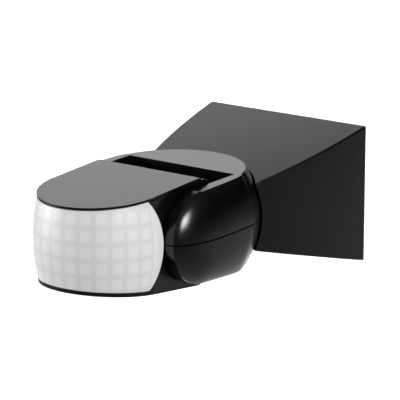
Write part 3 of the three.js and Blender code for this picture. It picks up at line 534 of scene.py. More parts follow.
def yoke_half(inset, wall, low, fine):
    """the upper half of the fork as columns that run from the seam up to the edge of the top face"""
    rows = np.linspace(0, 1, fine + 1)
    slot_x, slot_y, nose_r = SLOT_X + wall, SLOT_Y + wall, NOSE_R - inset
    bend = 90 + math.degrees(math.acos(min(1, (yoke_top(TILT_Y) - inset) / nose_r)))
    feet, heads = [], []
    for y, z in arc(TILT_Y, 0, nose_r, 180, bend, fine):
        feet.append((TILT_Y, low))
        heads.append((y, max(z, low)))
    start = heads[-1][0]
    ahead = np.linspace(0, 1, fine + 1)[1:]
    for t in ahead:
        feet.append((TILT_Y + (slot_y - TILT_Y) * t, low))
        heads.append((start + (slot_y - start) * t, yoke_top(start + (slot_y - start) * t) - inset))
    corner = len(heads) - 1
    if ARM_BACK_Y > slot_y:
        feet.append((ARM_BACK_Y, low))
        heads.append((ARM_BACK_Y, yoke_top(ARM_BACK_Y) - inset))
    side = []
    for (fy, fz), (hy, hz) in zip(feet, heads):
        y, z = fy + (hy - fy) * rows, fz + (hz - fz) * rows
        side.append(np.stack([np.maximum(cheek(y, z) - inset, slot_x + 0.5), y, z], 1))
    radius, centre_gap = BALL_R - inset, feet[-1][0] - SWIVEL_Y
    back = []
    for share in np.linspace(1, -1, 3 * fine + 1):
        z_top = yoke_top(SWIVEL_Y) - inset
        for _ in range(6):
            across = math.sqrt(radius ** 2 - z_top ** 2)
            z_top = yoke_top(SWIVEL_Y + across * math.cos(share * math.acos(centre_gap / across))) - inset
        z = low + (z_top - low) * rows
        across = np.sqrt(radius ** 2 - z ** 2)
        turn = share * np.arccos(centre_gap / across)
        deep = STEP_DEEP if abs(share) > 0.999 and not inset else 0.0
        back.append(np.stack([(across - deep) * np.sin(turn), SWIVEL_Y + (across - deep) * np.cos(turn), z], 1))
    if not inset:
        for column in (back[0], back[-1]):
            column[:, 1] += STEP_DEEP
    else:
        back = back[1:-1]
    mirror = [column * (-1, 1, 1) for column in side[::-1]]
    columns = side + back + mirror
    points = [tuple(p) for column in columns for p in column]
    tall, count = fine + 1, len(columns)
    at = lambda k, m: k * tall + m
    faces = [[at(k, m), at(k + 1, m), at(k + 1, m + 1), at(k, m + 1)]
             for k in range(count - 1) for m in range(fine)]
    edge = len(points)
    for sign in (1, -1):
        points += [(sign * slot_x, y, z) for y, z in heads[:corner + 1]]
        points.append((sign * slot_x, slot_y, low))
    span = corner + 2
    for side_index, first in ((0, 0), (1, count - 1)):
        base, way = edge + side_index * span, 1 if side_index == 0 else -1
        for k in range(corner):
            faces.append([at(first + way * k, fine), at(first + way * (k + 1), fine), base + k + 1, base + k])
        faces.append(list(range(base, base + span)))
    right_corner, left_corner = edge + corner, edge + span + corner
    faces.append([at(k, fine) for k in range(corner, count - corner)] + [left_corner, right_corner])
    faces.append([right_corner, left_corner, left_corner + 1, right_corner + 1])
    under = [at(0, m) for m in range(fine, 0, -1)] + [at(k, 0) for k in range(fine, count - fine)]
    under += [at(count - 1, m) for m in range(1, fine + 1)]
    faces.append(under + [edge + span, left_corner + 1, right_corner + 1, edge])
    return make("yoke_half", points, faces)


def upside_down(piece):
    """turns a piece over about the plane of the seam"""
    flipped = bmesh.new()
    flipped.from_mesh(piece.data)
    bmesh.ops.scale(flipped, vec=(1, 1, -1), verts=flipped.verts)
    bmesh.ops.reverse_faces(flipped, faces=flipped.faces)
    flipped.to_mesh(piece.data)
    flipped.free()
    return piece


def neck_window():
    """the opening in the ball that lets the bracket's neck swing"""
    half = WINDOW_TURN + math.degrees(math.asin(NECK_X / (SHOE_R - 1))) + 1
    outline = arc(0, SWIVEL_Y, 45, 90 - half, 90 + half, 48) + arc(0, SWIVEL_Y, 24, 90 + half, 90 - half, 48)
    return prism(outline, "z", -NECK_Z - 0.6, NECK_Z + 0.6)


def rim_share(p):
    """how much of the full rounding an edge of the fork gets; the lower shell is rounder behind"""
    if abs(p.z) < (SEAM + 0.1) * MM:
        return 0.04
    if abs(p.x) < (SLOT_X + 0.1) * MM:
        return 0.4 if p.y < (SLOT_Y - 2) * MM else 0.1
    behind = min(1, max(0, (p.y / MM + 3.5 * R) / (0.6 * R)))
    return 0.3 + (0.7 * behind if level == "lower" else 0)


for level in ("upper", "lower"):
    shell = round_edges(yoke_half(0, 0, SEAM, 34), YOKE_ROUND, 13, segments=4, share=rim_share)
    cavity = yoke_half(YOKE_WALL, SLOT_WALL, -1, 12)
    if level == "lower":
        upside_down(shell)
        upside_down(cavity)
    carve(shell, cavity, neck_window())
    carve(shell, rod(TRUNNION_R + 0.3, (-SLOT_X - 4, TILT_Y, 0), (SLOT_X + 4, TILT_Y, 0), 64),
          rod(9.8, (-SLOT_X - 1.4, TILT_Y, 0), (SLOT_X + 1.4, TILT_Y, 0), 64))
    roof = yoke_top(SWIVEL_Y) - 1
    for x in (-YOKE_SCREW_X, YOKE_SCREW_X):
        y = YOKE_SCREW_Y
        if level == "upper":
            join(shell, rod(2.8, (x, y, SEAM), (x, y, roof), 32))
            carve(shell, rod(1.4, (x, y, -5), (x, y, 12), 24))
        else:
            join(shell, rod(3.4, (x, y, -roof), (x, y, -SEAM), 32))
            carve(shell, rod(2.7, (x, y, -30), (x, y, -16), 48), rod(1.6, (x, y, -30), (x, y, 5), 24))
    keep(shade(shell, satin_abs, 30), f"fork_{level}_shell", "fork", "abs_black", f"yoke_{level}_shell")

finish_nodes(rubber, "tilt_washer_left", "tilt_washer_right")

# ---------------------------------------------------------------------------
# Head. A shallow ABS tub with a round front and a round rear, closed by a flat
# lid with a locating skirt. The tub has wells for three adjusters and four
# screws underneath, and its front is open for the lens.
# ---------------------------------------------------------------------------
NOSE_Y = -4.634 * R
REAR_R = 0.859 * R
HEAD_Z, HEAD_SLOPE, HEAD_WALL = 0.7486 * R, 0.0887, 2
LID_T, GAP = 0.9, 0.3
LENS_LIP = 1.4                 # lower edge of the tub in front of the lens
LENS_MID_R, LENS_EDGE_R, LENS_EDGE_Y = 1.069 * R, 1.061 * R, -5.551 * R
SKIRT_Y = -4.5 * R
BOARD_LOW, BOARD_HIGH = -6, -4.4
KNOB_XS, KNOB_Y, KNOB_R = (-13, 0, 13), -108, 4.4
HEAD_SCREWS = [(-17, NOSE_Y - 4), (17, NOSE_Y - 4), (-17, -96), (17, -96)]


def head_top(y):
    return HEAD_Z + HEAD_SLOPE * (y - NOSE_Y)


def head_side(inset, steps):
    """side view of the head: two sloping faces joined by the round rear"""
    radius, c, s = REAR_R - inset, head_top(TILT_Y) - inset, HEAD_SLOPE
    back = (-c * s + math.sqrt(radius ** 2 * (1 + s * s) - c * c)) / (1 + s * s)
    edge = math.degrees(math.atan2(c + s * back, back))
    front = NOSE_Y - LENS_MID_R - 1
    return ([(front, inset - head_top(front)), *arc(TILT_Y, 0, radius, -edge, edge, steps),
             (front, head_top(front) - inset)])


def head_block(inset, fine=72):
    plan = [*arc(0, NOSE_Y, R - inset, 180, 360, fine), (R - inset, -60), (inset - R, -60)]
    return meet(prism(head_side(inset, fine // 2), "x", -40, 40), prism(plan, "z", -40, 40))


def above_top(depth):
    """everything above a plane lying a depth below the top face"""
    far, near = NOSE_Y - 60, -50
    outline = [(far, head_top(far) - depth), (near, head_top(near) - depth), (near, 60), (far, 60)]
    return prism(outline, "x", -60, 60)


def below_bottom(depth):
    """everything below a plane lying a depth above the bottom face"""
    return upside_down(above_top(depth))


def lens_disc(grow, fine=128):
    return rod(LENS_EDGE_R + grow, (-60, LENS_EDGE_Y, 0), (60, LENS_EDGE_Y, 0), fine)


def lifted(piece, height):
    piece.data.transform(Matrix.Translation((0, 0, height * MM)))
    return piece


tub = round_edges(carve(head_block(0), above_top(LID_T + GAP)), 0.35, share=lambda p: 0.5 if p.z > 0 else 1)
mouth = carve(prism(head_side(0, 24), "x", -40, 40), below_bottom(LENS_LIP))
carve(tub, head_block(HEAD_WALL, 36), lifted(head_block(HEAD_WALL, 36), 1), meet(lens_disc(GAP), mouth))
for x, y in HEAD_SCREWS:
    low = -head_top(y)
    join(tub, rod(3.6, (x, y, low + 1), (x, y, BOARD_LOW - GAP), 32))
    carve(tub, rod(2.8, (x, y, low - 2), (x, y, low + 2.6), 48), rod(1.6, (x, y, low), (x, y, 0), 24))
for x in KNOB_XS:
    low = -head_top(KNOB_Y)
    join(tub, rod(KNOB_R + 1.6, (x, KNOB_Y, low + 1), (x, KNOB_Y, low + 6), 48))
    carve(tub, rod(KNOB_R + GAP, (x, KNOB_Y, low - 3), (x, KNOB_Y, low + 7), 64))
carve(tub, rod(TRUNNION_R + 0.08, (-40, TILT_Y, 0), (40, TILT_Y, 0), 64))
keep(shade(tub, satin_abs), "head_tub", "head", "abs_black", "head_body")

lid = meet(head_block(0), above_top(LID_T))
round_edges(lid, 0.35, share=lambda p: 0.3 if p.z < (head_top(p.y / MM) - 0.5) * MM else 1)
skirt = carve(head_block(HEAD_WALL + GAP, 36), head_block(HEAD_WALL + GAP + 1.3, 36))
meet(skirt, carve(above_top(4.5), above_top(LID_T - 0.4)), block(-40, 40, SKIRT_Y, -60, 0, 40))
carve(skirt, rod(10, (-40, TILT_Y, 0), (40, TILT_Y, 0), 32))
join(lid, skirt)
for x, y in HEAD_SCREWS:
    join(lid, rod(3, (x, y, BOARD_HIGH + GAP), (x, y, head_top(y) - 1), 32))
    carve(lid, rod(1.45, (x, y, BOARD_HIGH - 1), (x, y, head_top(y) - 4), 24))
keep(shade(lid, satin_abs), "head_cover", "head", "abs_black", "head_lid")

# ---------------------------------------------------------------------------
# Lens. A barrel of milky polyethylene, moulded thin so that heat rays pass. Its
# panes stand in five rows and thirteen columns, each a soft cushion with ring
# grooves behind it, inside a plain border. It is held by the lid and the tub.
# ---------------------------------------------------------------------------
LENS_END_R, LENS_END_Z, LENS_T = 0.985 * R, 18, 2.6
LENS_MID_Z = (LENS_LIP - LID_T) / 2        # the lens sits between the lid and the tub's lip
LENS_ROOM = (LENS_LIP + LID_T) / 2 + GAP
PANE_TURN, PANE_RISE = 13.0, 6.5
PANE_RELIEF = 0.05
PANE_LAST_TURN = 84.5


def barrel(z, inset=0.0):
    return LENS_END_R - inset + (LENS_MID_R - LENS_END_R) * (1 - (z / LENS_END_Z) ** 2)


def lens_sheet(u, v, inset):
    """a point of the lens, with its turn from the front and its height, for u and v from -1 to 1"""
    turn, z = u * math.radians(92), v * 15.0
    for _ in range(8):
        y = NOSE_Y - barrel(z) * np.cos(turn)
        z = LENS_MID_Z + v * (head_top(y) - LENS_ROOM)
        reach = LENS_EDGE_Y + np.sqrt(LENS_EDGE_R ** 2 - z ** 2) - NOSE_Y
        turn = u * (math.pi / 2 + np.arcsin(reach / barrel(z)))
    r = barrel(z, inset)
    return np.stack([r * np.sin(turn), NOSE_Y - r * np.cos(turn), z], -1), np.degrees(turn), z


across, tall = 208, 76
u, v = np.meshgrid(np.linspace(-1, 1, across + 1), np.linspace(-1, 1, tall + 1), indexing="ij")
outside, turns, rises = lens_sheet(u, v, 0.0)
inside = lens_sheet(u, v, LENS_T)[0]
count = (across + 1) * (tall + 1)
at = lambda i, j, layer=0: layer * count + i * (tall + 1) + j
faces = []
for i in range(across):
    for j in range(tall):
        ring = [(i, j), (i + 1, j), (i + 1, j + 1), (i, j + 1)]
        faces += [[at(*p) for p in ring], [at(*p, 1) for p in ring[::-1]]]
border = ([(i, 0) for i in range(across)] + [(across, j) for j in range(tall)]
          + [(i, tall) for i in range(across, 0, -1)] + [(0, j) for j in range(tall, 0, -1)])
for p, q in zip(border, border[1:] + border[:1]):
    faces.append([at(*q), at(*p), at(*p, 1), at(*q, 1)])
lens_mesh = bpy.data.meshes.new("lens")
sheets = np.concatenate([outside.reshape(-1, 3), inside.reshape(-1, 3)])
lens_mesh.from_pydata([tuple(p * MM) for p in sheets], [], faces)
lens = bpy.data.objects.new("lens", lens_mesh)
bpy.context.scene.collection.objects.link(lens)
for name, values in (("turn", turns), ("rise", rises), ("edge", np.minimum(1 - abs(u), 1 - abs(v)))):
    layer = lens_mesh.attributes.new(name, "FLOAT", "POINT")
    layer.data.foreach_set("value", np.concatenate([values.ravel(), values.ravel() * (name != "edge")]))


def new_tree(name, **sockets):
    """a Geometry Nodes group with the named inputs, its input node and its output node"""
    tree = bpy.data.node_groups.new(name, "GeometryNodeTree")
    tree.interface.new_socket("Geometry", in_out="INPUT", socket_type="NodeSocketGeometry")
    tree.interface.new_socket("Geometry", in_out="OUTPUT", socket_type="NodeSocketGeometry")
    for socket, kind in sockets.items():
        tree.interface.new_socket(socket, in_out="INPUT", socket_type=f"NodeSocket{kind}")
    return tree, put(tree, "NodeGroupInput"), tree.nodes.new("NodeGroupOutput")


def run_tree(piece, tree, **values):
    """evaluates a Geometry Nodes group on a piece and keeps the mesh that it makes"""
    step = piece.modifiers.new("nodes", "NODES")
    step.node_group = tree
    for item in tree.interface.items_tree:
        if item.name in values:
            step[item.identifier] = values[item.name]
    return settle(piece)


def maths(tree, operation, *values):
    return put(tree, "ShaderNodeMath", dict(enumerate(values)), operation=operation).outputs[0]


# milky polyethylene: light goes a little way in, so the panes' edges are soft; the seams between the panes are painted
# a shade darker, as painted shade for the light the lens passes unevenly at its grooves; the rings behind a pane are
# 0.5 mm apart and drawn twice as coarse
milky_pe, tree = new_material("milky_polyethylene")
pane = put(tree, "ShaderNodeAttribute", attribute_name="pane")
ring = put(tree, "ShaderNodeAttribute", attribute_name="ring")
place = put(tree, "ShaderNodeTexCoord").outputs["Object"]
cloud = put(tree, "ShaderNodeTexNoise", {"Vector": place, "Scale": 1 / (9 * MM), "Detail": 2.0})
# painted shade: the seams between the panes get a darker tone than the panes themselves
painted_seam_shade = put(tree, "ShaderNodeMix", {0: cloud.outputs[0], 6: linear("#cbcbcb"), 7: linear("#d0d0d0")},
                data_type="RGBA")
pane_tone = put(tree, "ShaderNodeMix", {0: cloud.outputs[0], 6: linear("#d6d6d5"), 7: linear("#dbdbda")},
                data_type="RGBA")
tone = put(tree, "ShaderNodeMix", {0: pane.outputs["Fac"], 6: painted_seam_shade.outputs[2], 7: pane_tone.outputs[2]},
           data_type="RGBA")
waves = maths(tree, "MULTIPLY", maths(tree, "SINE", maths(tree, "MULTIPLY", ring.outputs["Fac"], 2 * math.pi)),
              pane.outputs["Fac"])
bump = put(tree, "ShaderNodeBump", {"Height": waves, "Strength": 0.12, "Distance": 0.02 * MM})
finish_with(tree, put(tree, "ShaderNodeBsdfPrincipled", {
    "Base Color": tone.outputs[2], "Roughness": 0.38, "Specular IOR Level": 0.25, "Subsurface Weight": 0.35,
    "Subsurface Radius": (1, 1, 1), "Subsurface Scale": 1.2 * MM}), bump)

# a pane's place in its cell, from -1 to 1 each way, gives the cushion's height and the rings
tree, given, result = new_tree("fresnel_panes", **{
    "Pane Turn": "Float", "Pane Rise": "Float", "Last Turn": "Float", "Relief": "Float",
    "Material": "Material"})
local = []
for attribute, pitch, shift in (("turn", "Pane Turn", 0.0), ("rise", "Pane Rise", 0.0)):
    value = put(tree, "GeometryNodeInputNamedAttribute", {"Name": attribute}, data_type="FLOAT").outputs[0]
    cell = maths(tree, "DIVIDE", value, given.outputs[pitch])
    local.append(maths(tree, "MULTIPLY", maths(tree, "SUBTRACT", cell, maths(tree, "ROUND", cell)), 2.0))
turn = put(tree, "GeometryNodeInputNamedAttribute", {"Name": "turn"}, data_type="FLOAT").outputs[0]
edge = put(tree, "GeometryNodeInputNamedAttribute", {"Name": "edge"}, data_type="FLOAT").outputs[0]
inside_panes = maths(tree, "LESS_THAN", maths(tree, "ABSOLUTE", turn), given.outputs["Last Turn"])
off_border = maths(tree, "GREATER_THAN", edge, 0.012)
squares = [maths(tree, "POWER", maths(tree, "ABSOLUTE", side), 5.0) for side in local]
rim = maths(tree, "POWER", maths(tree, "ADD", *squares), 0.2)
cushion = put(tree, "ShaderNodeMapRange", {"Value": rim, "From Min": 0.98, "From Max": 0.42},
              interpolation_type="SMOOTHSTEP").outputs[0]
flat = maths(tree, "SUBTRACT", 1.0, inside_panes)
level = maths(tree, "MULTIPLY", maths(tree, "MAXIMUM", cushion, flat), off_border)
height = maths(tree, "MULTIPLY", maths(tree, "SUBTRACT", level, 1.0), given.outputs["Relief"])
push = put(tree, "ShaderNodeVectorMath", {0: put(tree, "GeometryNodeInputNormal").outputs[0], "Scale": height},
           operation="SCALE")
moved = put(tree, "GeometryNodeSetPosition", {"Geometry": given.outputs["Geometry"], "Selection": off_border,
                                              "Offset": push.outputs[0]})
distance = maths(tree, "SQRT", maths(tree, "ADD", *[maths(tree, "MULTIPLY", side, side) for side in local]))
rings = maths(tree, "MULTIPLY", distance, maths(tree, "DIVIDE", given.outputs["Pane Rise"], 2.0))
named = put(tree, "GeometryNodeStoreNamedAttribute", {
    "Geometry": moved.outputs[0], "Name": "pane", "Value": level}, data_type="FLOAT")
named = put(tree, "GeometryNodeStoreNamedAttribute", {
    "Geometry": named.outputs[0], "Name": "ring", "Value": rings}, data_type="FLOAT")
real = put(tree, "GeometryNodeRealizeInstances", {0: named.outputs[0]})
painted = put(tree, "GeometryNodeSetMaterial", {
    "Geometry": real.outputs[0], "Material": given.outputs["Material"]})
tree.links.new(painted.outputs[0], result.inputs[0])

run_tree(lens, tree, **{"Pane Turn": PANE_TURN, "Pane Rise": PANE_RISE, "Last Turn": PANE_LAST_TURN,
                        "Relief": PANE_RELIEF * MM, "Material": milky_pe})
round_edges(lens, 0.35, 40)
keep(shade(lens, milky_pe, 50), "lens_window", "head", "lens_white", "fresnel_lens")

# ---------------------------------------------------------------------------
# Sensor board. A glass-epoxy board with a green solder mask carries three
# pyroelectric cans on a nylon holder, a photocell, an indicator, a relay, two
# capacitors, a connector and three trimmers. They stay as made, in their finishes.
# ---------------------------------------------------------------------------
solder_mask, tree = new_material("green_solder_mask")
place = put(tree, "ShaderNodeTexCoord").outputs["Object"]
tracks = put(tree, "ShaderNodeTexBrick", {
    "Vector": place, "Color1": linear("#1d5636"), "Color2": linear("#236241"), "Mortar": linear("#2f7a52"),
    "Scale": 1 / (9 * MM), "Mortar Size": 0.06, "Brick Width": 0.9, "Row Height": 0.35})
bump = put(tree, "ShaderNodeBump", {"Height": tracks.outputs[1], "Strength": 0.4, "Distance": 0.03 * MM})
finish_with(tree, put(tree, "ShaderNodeBsdfPrincipled", {"Base Color": tracks.outputs[0], "Roughness": 0.35}), bump)
finish_nodes(solder_mask, "control_board")
finish_nodes(nylon, "pir_holder", "board_connector")
finish_nodes(zinc_steel, "pir_sensor_left", "pir_sensor_centre", "pir_sensor_right")
finish_nodes(moulded_plastic("dark_relay_case", "#1f2126", "#2a2d33", (0.25, 0.35), 1.0, 0.01), "relay")
finish_nodes(moulded_plastic("blue_shrink_sleeve", "#23283f", "#2c3350", (0.18, 0.28), 2.0, 0.01), "main_capacitor")
finish_nodes(moulded_plastic("dipped_yellow_resin", "#c19a22", "#d0aa35", (0.15, 0.28), 2.5, 0.03), "film_capacitor")
finish_nodes(moulded_plastic("red_tinted_epoxy", "#a8211b", "#be2d22", (0.08, 0.14), 3.0, 0.005), "indicator_led")
finish_nodes(moulded_plastic("blue_trimmer_case", "#36588f", "#4267a3", (0.35, 0.45), 1.0, 0.01),
             "potentiometer_lux", "potentiometer_time", "potentiometer_range")

photo_track, tree = new_material("photocell_track")
place = put(tree, "ShaderNodeTexCoord").outputs["Object"]
bands = put(tree, "ShaderNodeTexWave", {"Vector": place, "Scale": 1 / (5.2 * MM), "Distortion": 2.0},
            wave_profile="TRI")
tone = put(tree, "ShaderNodeMix", {0: bands.outputs["Fac"], 6: linear("#8f4a26"), 7: linear("#d9946a")},
           data_type="RGBA")
finish_with(tree, put(tree, "ShaderNodeBsdfPrincipled", {"Base Color": tone.outputs[2], "Roughness": 0.3}))
finish_nodes(photo_track, "photocell")

# ---------------------------------------------------------------------------
# Adjusters. Three nylon finger dials with fluted rims and a pointer slot, each
# on a short spindle in its trimmer. Raised ticks stand round their wells.
# ---------------------------------------------------------------------------
DIAL_HEIGHT, DIAL_FLUTES, FLUTE_DEEP = 3.4, 20, 0.22
DIAL_FOOT = -head_top(KNOB_Y) + 1
tree, given, result = new_tree("finger_dial", **{
    "Radius": "Float", "Height": "Float", "Flutes": "Float", "Flute Depth": "Float", "At": "Vector",
    "Material": "Material"})
disc = put(tree, "GeometryNodeMeshCylinder", {"Vertices": 120, "Side Segments": 6, "Fill Segments": 3,
                                              "Radius": given.outputs["Radius"], "Depth": given.outputs["Height"]})
spot = put(tree, "ShaderNodeSeparateXYZ", {0: put(tree, "GeometryNodeInputPosition").outputs[0]}).outputs
angle = maths(tree, "ARCTAN2", spot[1], spot[0])
ripple = maths(tree, "ADD", maths(tree, "COSINE", maths(tree, "MULTIPLY", angle, given.outputs["Flutes"])), 1.0)
radial = maths(tree, "SQRT", maths(tree, "ADD", maths(tree, "MULTIPLY", spot[0], spot[0]),
                                   maths(tree, "MULTIPLY", spot[1], spot[1])))
outer = maths(tree, "GREATER_THAN", radial, maths(tree, "MULTIPLY", given.outputs["Radius"], 0.97))
up_share = maths(tree, "DIVIDE", maths(tree, "ABSOLUTE", spot[2]), given.outputs["Height"])
crown = maths(tree, "MULTIPLY", maths(tree, "POWER", maths(tree, "MULTIPLY", up_share, 2.0), 12.0), 0.6)
deep = maths(tree, "MULTIPLY", maths(tree, "ADD", maths(tree, "MULTIPLY", ripple, 0.5), crown),
             given.outputs["Flute Depth"])
pull = maths(tree, "MULTIPLY", maths(tree, "DIVIDE", deep, maths(tree, "MAXIMUM", radial, 1e-5)), -1.0)
sideways = put(tree, "ShaderNodeCombineXYZ", {0: maths(tree, "MULTIPLY", spot[0], pull),
                                              1: maths(tree, "MULTIPLY", spot[1], pull)})
fluted = put(tree, "GeometryNodeSetPosition", {"Geometry": disc.outputs[0], "Selection": outer,
                                               "Offset": sideways.outputs[0]})
spindle = put(tree, "GeometryNodeMeshCylinder", {"Vertices": 48, "Radius": 2.0 * MM, "Depth": 9.0 * MM})
raised = put(tree, "GeometryNodeTransform", {0: spindle.outputs[0], "Translation": (0, 0, 4.6 * MM)})
whole = put(tree, "GeometryNodeMeshBoolean", {1: fluted.outputs[0]}, operation="UNION", solver="EXACT")
tree.links.new(raised.outputs[0], whole.inputs[1])
pointer = put(tree, "GeometryNodeMeshCube", {"Size": (1.2 * MM, 5.4 * MM, 2.2 * MM)})
pointer_at = put(tree, "GeometryNodeTransform", {0: pointer.outputs[0], "Translation": (0, -1.2 * MM, -1.7 * MM)})
slotted = put(tree, "GeometryNodeMeshBoolean", {0: whole.outputs[0], 1: pointer_at.outputs[0]},
              operation="DIFFERENCE", solver="EXACT")
put_there = put(tree, "GeometryNodeTransform", {0: slotted.outputs[0], "Translation": given.outputs["At"]})
real = put(tree, "GeometryNodeRealizeInstances", {0: put_there.outputs[0]})
painted = put(tree, "GeometryNodeSetMaterial", {
    "Geometry": real.outputs[0], "Material": given.outputs["Material"]})
tree.links.new(painted.outputs[0], result.inputs[0])

for name, x in zip(("lux", "time", "range"), KNOB_XS):
    dial = run_tree(make("dial", [(0, 0, 0)], []), tree, **{
        "Radius": KNOB_R * MM, "Height": DIAL_HEIGHT * MM, "Flutes": float(DIAL_FLUTES),
        "Flute Depth": FLUTE_DEEP * MM, "At": (x * MM, KNOB_Y * MM, (DIAL_FOOT + DIAL_HEIGHT / 2) * MM),
        "Material": nylon})
    keep(shade(dial, nylon), f"{name}_dial", f"{name}_knob", "white_plastic", f"knob_{name}")

tree, given, result = new_tree("dial_scale", **{
    "Ticks": "Int", "Radius": "Float", "Sweep": "Float", "Tilt": "Float", "Material": "Material"})
line = put(tree, "GeometryNodeCurveArc", {
    "Resolution": given.outputs["Ticks"], "Radius": given.outputs["Radius"],
    "Start Angle": math.radians(-45), "Sweep Angle": given.outputs["Sweep"]})
dots = put(tree, "GeometryNodeCurveToPoints", {"Curve": line.outputs[0]}, mode="EVALUATED")
tick = put(tree, "GeometryNodeMeshCube", {"Size": (0.9 * MM, 0.35 * MM, 0.5 * MM)})
out = put(tree, "FunctionNodeAlignRotationToVector", {"Vector": put(tree, "GeometryNodeInputPosition").outputs[0]},
          axis="X")
spread = put(tree, "GeometryNodeInstanceOnPoints", {"Points": dots.outputs[0], "Instance": tick.outputs[0],
                                                    "Rotation": out.outputs[0]})
wells = put(tree, "GeometryNodeInstanceOnPoints", {"Points": given.outputs["Geometry"],
                                                   "Instance": spread.outputs[0]})
lean = put(tree, "ShaderNodeCombineXYZ", {0: given.outputs["Tilt"]})
leant = put(tree, "GeometryNodeRotateInstances", {"Instances": wells.outputs[0], "Rotation": lean.outputs[0]})
real = put(tree, "GeometryNodeRealizeInstances", {0: leant.outputs[0]})
painted = put(tree, "GeometryNodeSetMaterial", {
    "Geometry": real.outputs[0], "Material": given.outputs["Material"]})
tree.links.new(painted.outputs[0], result.inputs[0])
ticks = run_tree(make("ticks", [(x, KNOB_Y, -head_top(KNOB_Y)) for x in KNOB_XS], []), tree, **{
    "Ticks": 9, "Radius": (KNOB_R + 1.4) * MM, "Sweep": math.radians(270), "Tilt": -math.atan(HEAD_SLOPE),
    "Material": satin_abs})
keep(round_edges(shade(ticks, satin_abs), 0.08), "dial_ticks", "head", "abs_black")

# ---------------------------------------------------------------------------
# Screws. Zinc-plated steel self-tappers with domed heads and a cross recess
# hold every joint. The terminal screws are plain slotted ones. Each body's
# screws are one mesh, spread over points that carry their direction and size.
# ---------------------------------------------------------------------------
SCREW_HEAD_R, SCREW_HEAD_H, SCREW_SHANK_R = 2.5, 1.7, 1.25
tree, given, result = new_tree("domed_screws", **{
    "Head Radius": "Float", "Head Height": "Float", "Shank Radius": "Float", "Length": "Float",
    "Blade": "Float", "Second Blade": "Float", "Material": "Material"})
head = put(tree, "GeometryNodeMeshCylinder", {"Vertices": 40, "Side Segments": 3, "Fill Segments": 5,
                                              "Radius": given.outputs["Head Radius"],
                                              "Depth": given.outputs["Head Height"]})
spot = put(tree, "ShaderNodeSeparateXYZ", {0: put(tree, "GeometryNodeInputPosition").outputs[0]}).outputs
squared = maths(tree, "ADD", maths(tree, "MULTIPLY", spot[0], spot[0]), maths(tree, "MULTIPLY", spot[1], spot[1]))
share = maths(tree, "DIVIDE", squared, maths(tree, "MULTIPLY", given.outputs["Head Radius"],
                                             given.outputs["Head Radius"]))
sag = maths(tree, "MULTIPLY", maths(tree, "POWER", share, 2.0),
            maths(tree, "MULTIPLY", given.outputs["Head Height"], 0.4))
domed = put(tree, "GeometryNodeSetPosition", {
    "Geometry": head.outputs[0],
    "Selection": maths(tree, "LESS_THAN", spot[2], maths(tree, "MULTIPLY", given.outputs["Head Height"], -0.4)),
    "Offset": put(tree, "ShaderNodeCombineXYZ", {2: sag}).outputs[0]})
seated = put(tree, "GeometryNodeTransform", {
    0: domed.outputs[0], "Translation": put(tree, "ShaderNodeCombineXYZ", {
        2: maths(tree, "MULTIPLY", given.outputs["Head Height"], -0.5)}).outputs[0]})
shank = put(tree, "GeometryNodeMeshCone", {"Vertices": 24, "Radius Bottom": given.outputs["Shank Radius"],
                                           "Radius Top": maths(tree, "MULTIPLY", given.outputs["Shank Radius"], 0.7),
                                           "Depth": given.outputs["Length"]})
sunk = put(tree, "GeometryNodeTransform", {0: shank.outputs[0], "Translation": (0, 0, -0.2 * MM)})
solid = put(tree, "GeometryNodeMeshBoolean", {1: seated.outputs[0]}, operation="UNION", solver="EXACT")
tree.links.new(sunk.outputs[0], solid.inputs[1])
width = maths(tree, "MULTIPLY", given.outputs["Head Radius"], 0.28)
deep = maths(tree, "MULTIPLY", given.outputs["Head Height"], 1.2)
blades = put(tree, "GeometryNodeMeshBoolean", {}, operation="UNION", solver="EXACT")
for long, other in (("Blade", None), (None, "Second Blade")):
    size = put(tree, "ShaderNodeCombineXYZ", {0: given.outputs[long] if long else width,
                                              1: given.outputs[other] if other else width, 2: deep})
    blade = put(tree, "GeometryNodeMeshCube", {"Size": size.outputs[0]})
    tree.links.new(blade.outputs[0], blades.inputs[1])
blades_at = put(tree, "GeometryNodeTransform", {0: blades.outputs[0], "Translation": put(
    tree, "ShaderNodeCombineXYZ", {2: maths(tree, "MULTIPLY", given.outputs["Head Height"], -1.0)}).outputs[0]})
recessed = put(tree, "GeometryNodeMeshBoolean", {0: solid.outputs[0], 1: blades_at.outputs[0]},
               operation="DIFFERENCE", solver="EXACT")
along = put(tree, "GeometryNodeInputNamedAttribute", {"Name": "into"}, data_type="FLOAT_VECTOR")
size = put(tree, "GeometryNodeInputNamedAttribute", {"Name": "size"}, data_type="FLOAT")
turned_in = put(tree, "FunctionNodeAlignRotationToVector", {"Vector": along.outputs[0]}, axis="Z")
spread = put(tree, "GeometryNodeInstanceOnPoints", {
    "Points": given.outputs["Geometry"], "Instance": recessed.outputs[0],
    "Rotation": turned_in.outputs[0], "Scale": size.outputs[0]})
real = put(tree, "GeometryNodeRealizeInstances", {0: spread.outputs[0]})
painted = put(tree, "GeometryNodeSetMaterial", {
    "Geometry": real.outputs[0], "Material": given.outputs["Material"]})
tree.links.new(painted.outputs[0], result.inputs[0])


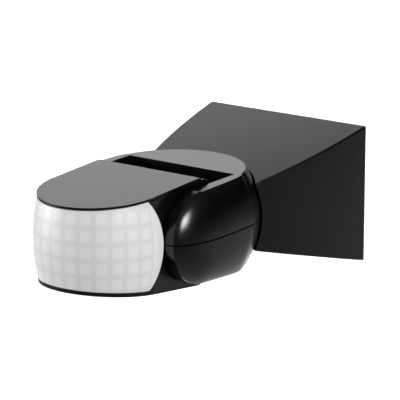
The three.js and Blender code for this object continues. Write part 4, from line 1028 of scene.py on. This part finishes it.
def screws(name, body, seats, length, cross, nodes):
    """screws on one body; a seat is the point under a head, the way in and the head's size against the usual"""
    points = make(name, [seat for seat, _, _ in seats], [])
    into = points.data.attributes.new("into", "FLOAT_VECTOR", "POINT")
    into.data.foreach_set("vector", [c for _, way, _ in seats for c in way])
    size = points.data.attributes.new("size", "FLOAT", "POINT")
    size.data.foreach_set("value", [scale for _, _, scale in seats])
    blade = SCREW_HEAD_R * 1.25 * MM
    run_tree(points, tree, **{
        "Head Radius": SCREW_HEAD_R * MM, "Head Height": SCREW_HEAD_H * MM, "Shank Radius": SCREW_SHANK_R * MM,
        "Length": length * MM, "Blade": blade, "Second Blade": blade if cross else SCREW_HEAD_R * 0.28 * MM,
        "Material": zinc_steel})
    keep(shade(points, zinc_steel), name, body, "steel", *nodes)


sides = ("left", "right")
screws("cover_screws", "bracket", [((x, HOUSING_SCREW_Y, -25.2), (0, 0, 1), 1.16) for x in (-24, 24)], 7.3, True,
       [f"housing_screw_{side}" for side in sides])
screws("shoe_screws", "bracket", [((x, SHOE_SEAT_Y + 0.2, 0), (0, -1, 0), 1.0)
                                  for x in (-SHOE_SCREW_X, SHOE_SCREW_X)], 8.5, True,
       [f"shoe_screw_{side}" for side in sides])
wire_front = GROMMET_LIP
screws("clamp_screws", "bracket",
       [((x, -11.2, CLAMP_Z), (0, 1, 0), 1.0) for x in (-CLAMP_X, CLAMP_X)]
       + [((25.5, wire_front - 9.3, 12.5), (0, 1, 0), 1.1)], 5.6, True,
       ["clamp_screw_left", "clamp_screw_right", "earth_screw"])
screws("terminal_screws", "bracket", [((x, wire_front - 10.5, 14.5), (0, 1, 0), 0.84)
                                      for x in (-11.4, -3.8, 3.8, 11.4)], 2.3, False,
       [f"terminal_screw_{i}" for i in (1, 2, 3, 4)])
screws("seam_screws", "fork", [((x, YOKE_SCREW_Y, -16.2), (0, 0, 1), 0.96) for x in (-24, 24)], 24, True,
       [f"yoke_screw_{side}" for side in sides])
screws("lid_screws", "head", [((x, y, 2.5 - head_top(y)), (0, 0, 1), 1.0) for x, y in HEAD_SCREWS], 19, True,
       [f"head_screw_{i}" for i in (1, 2, 3, 4)])
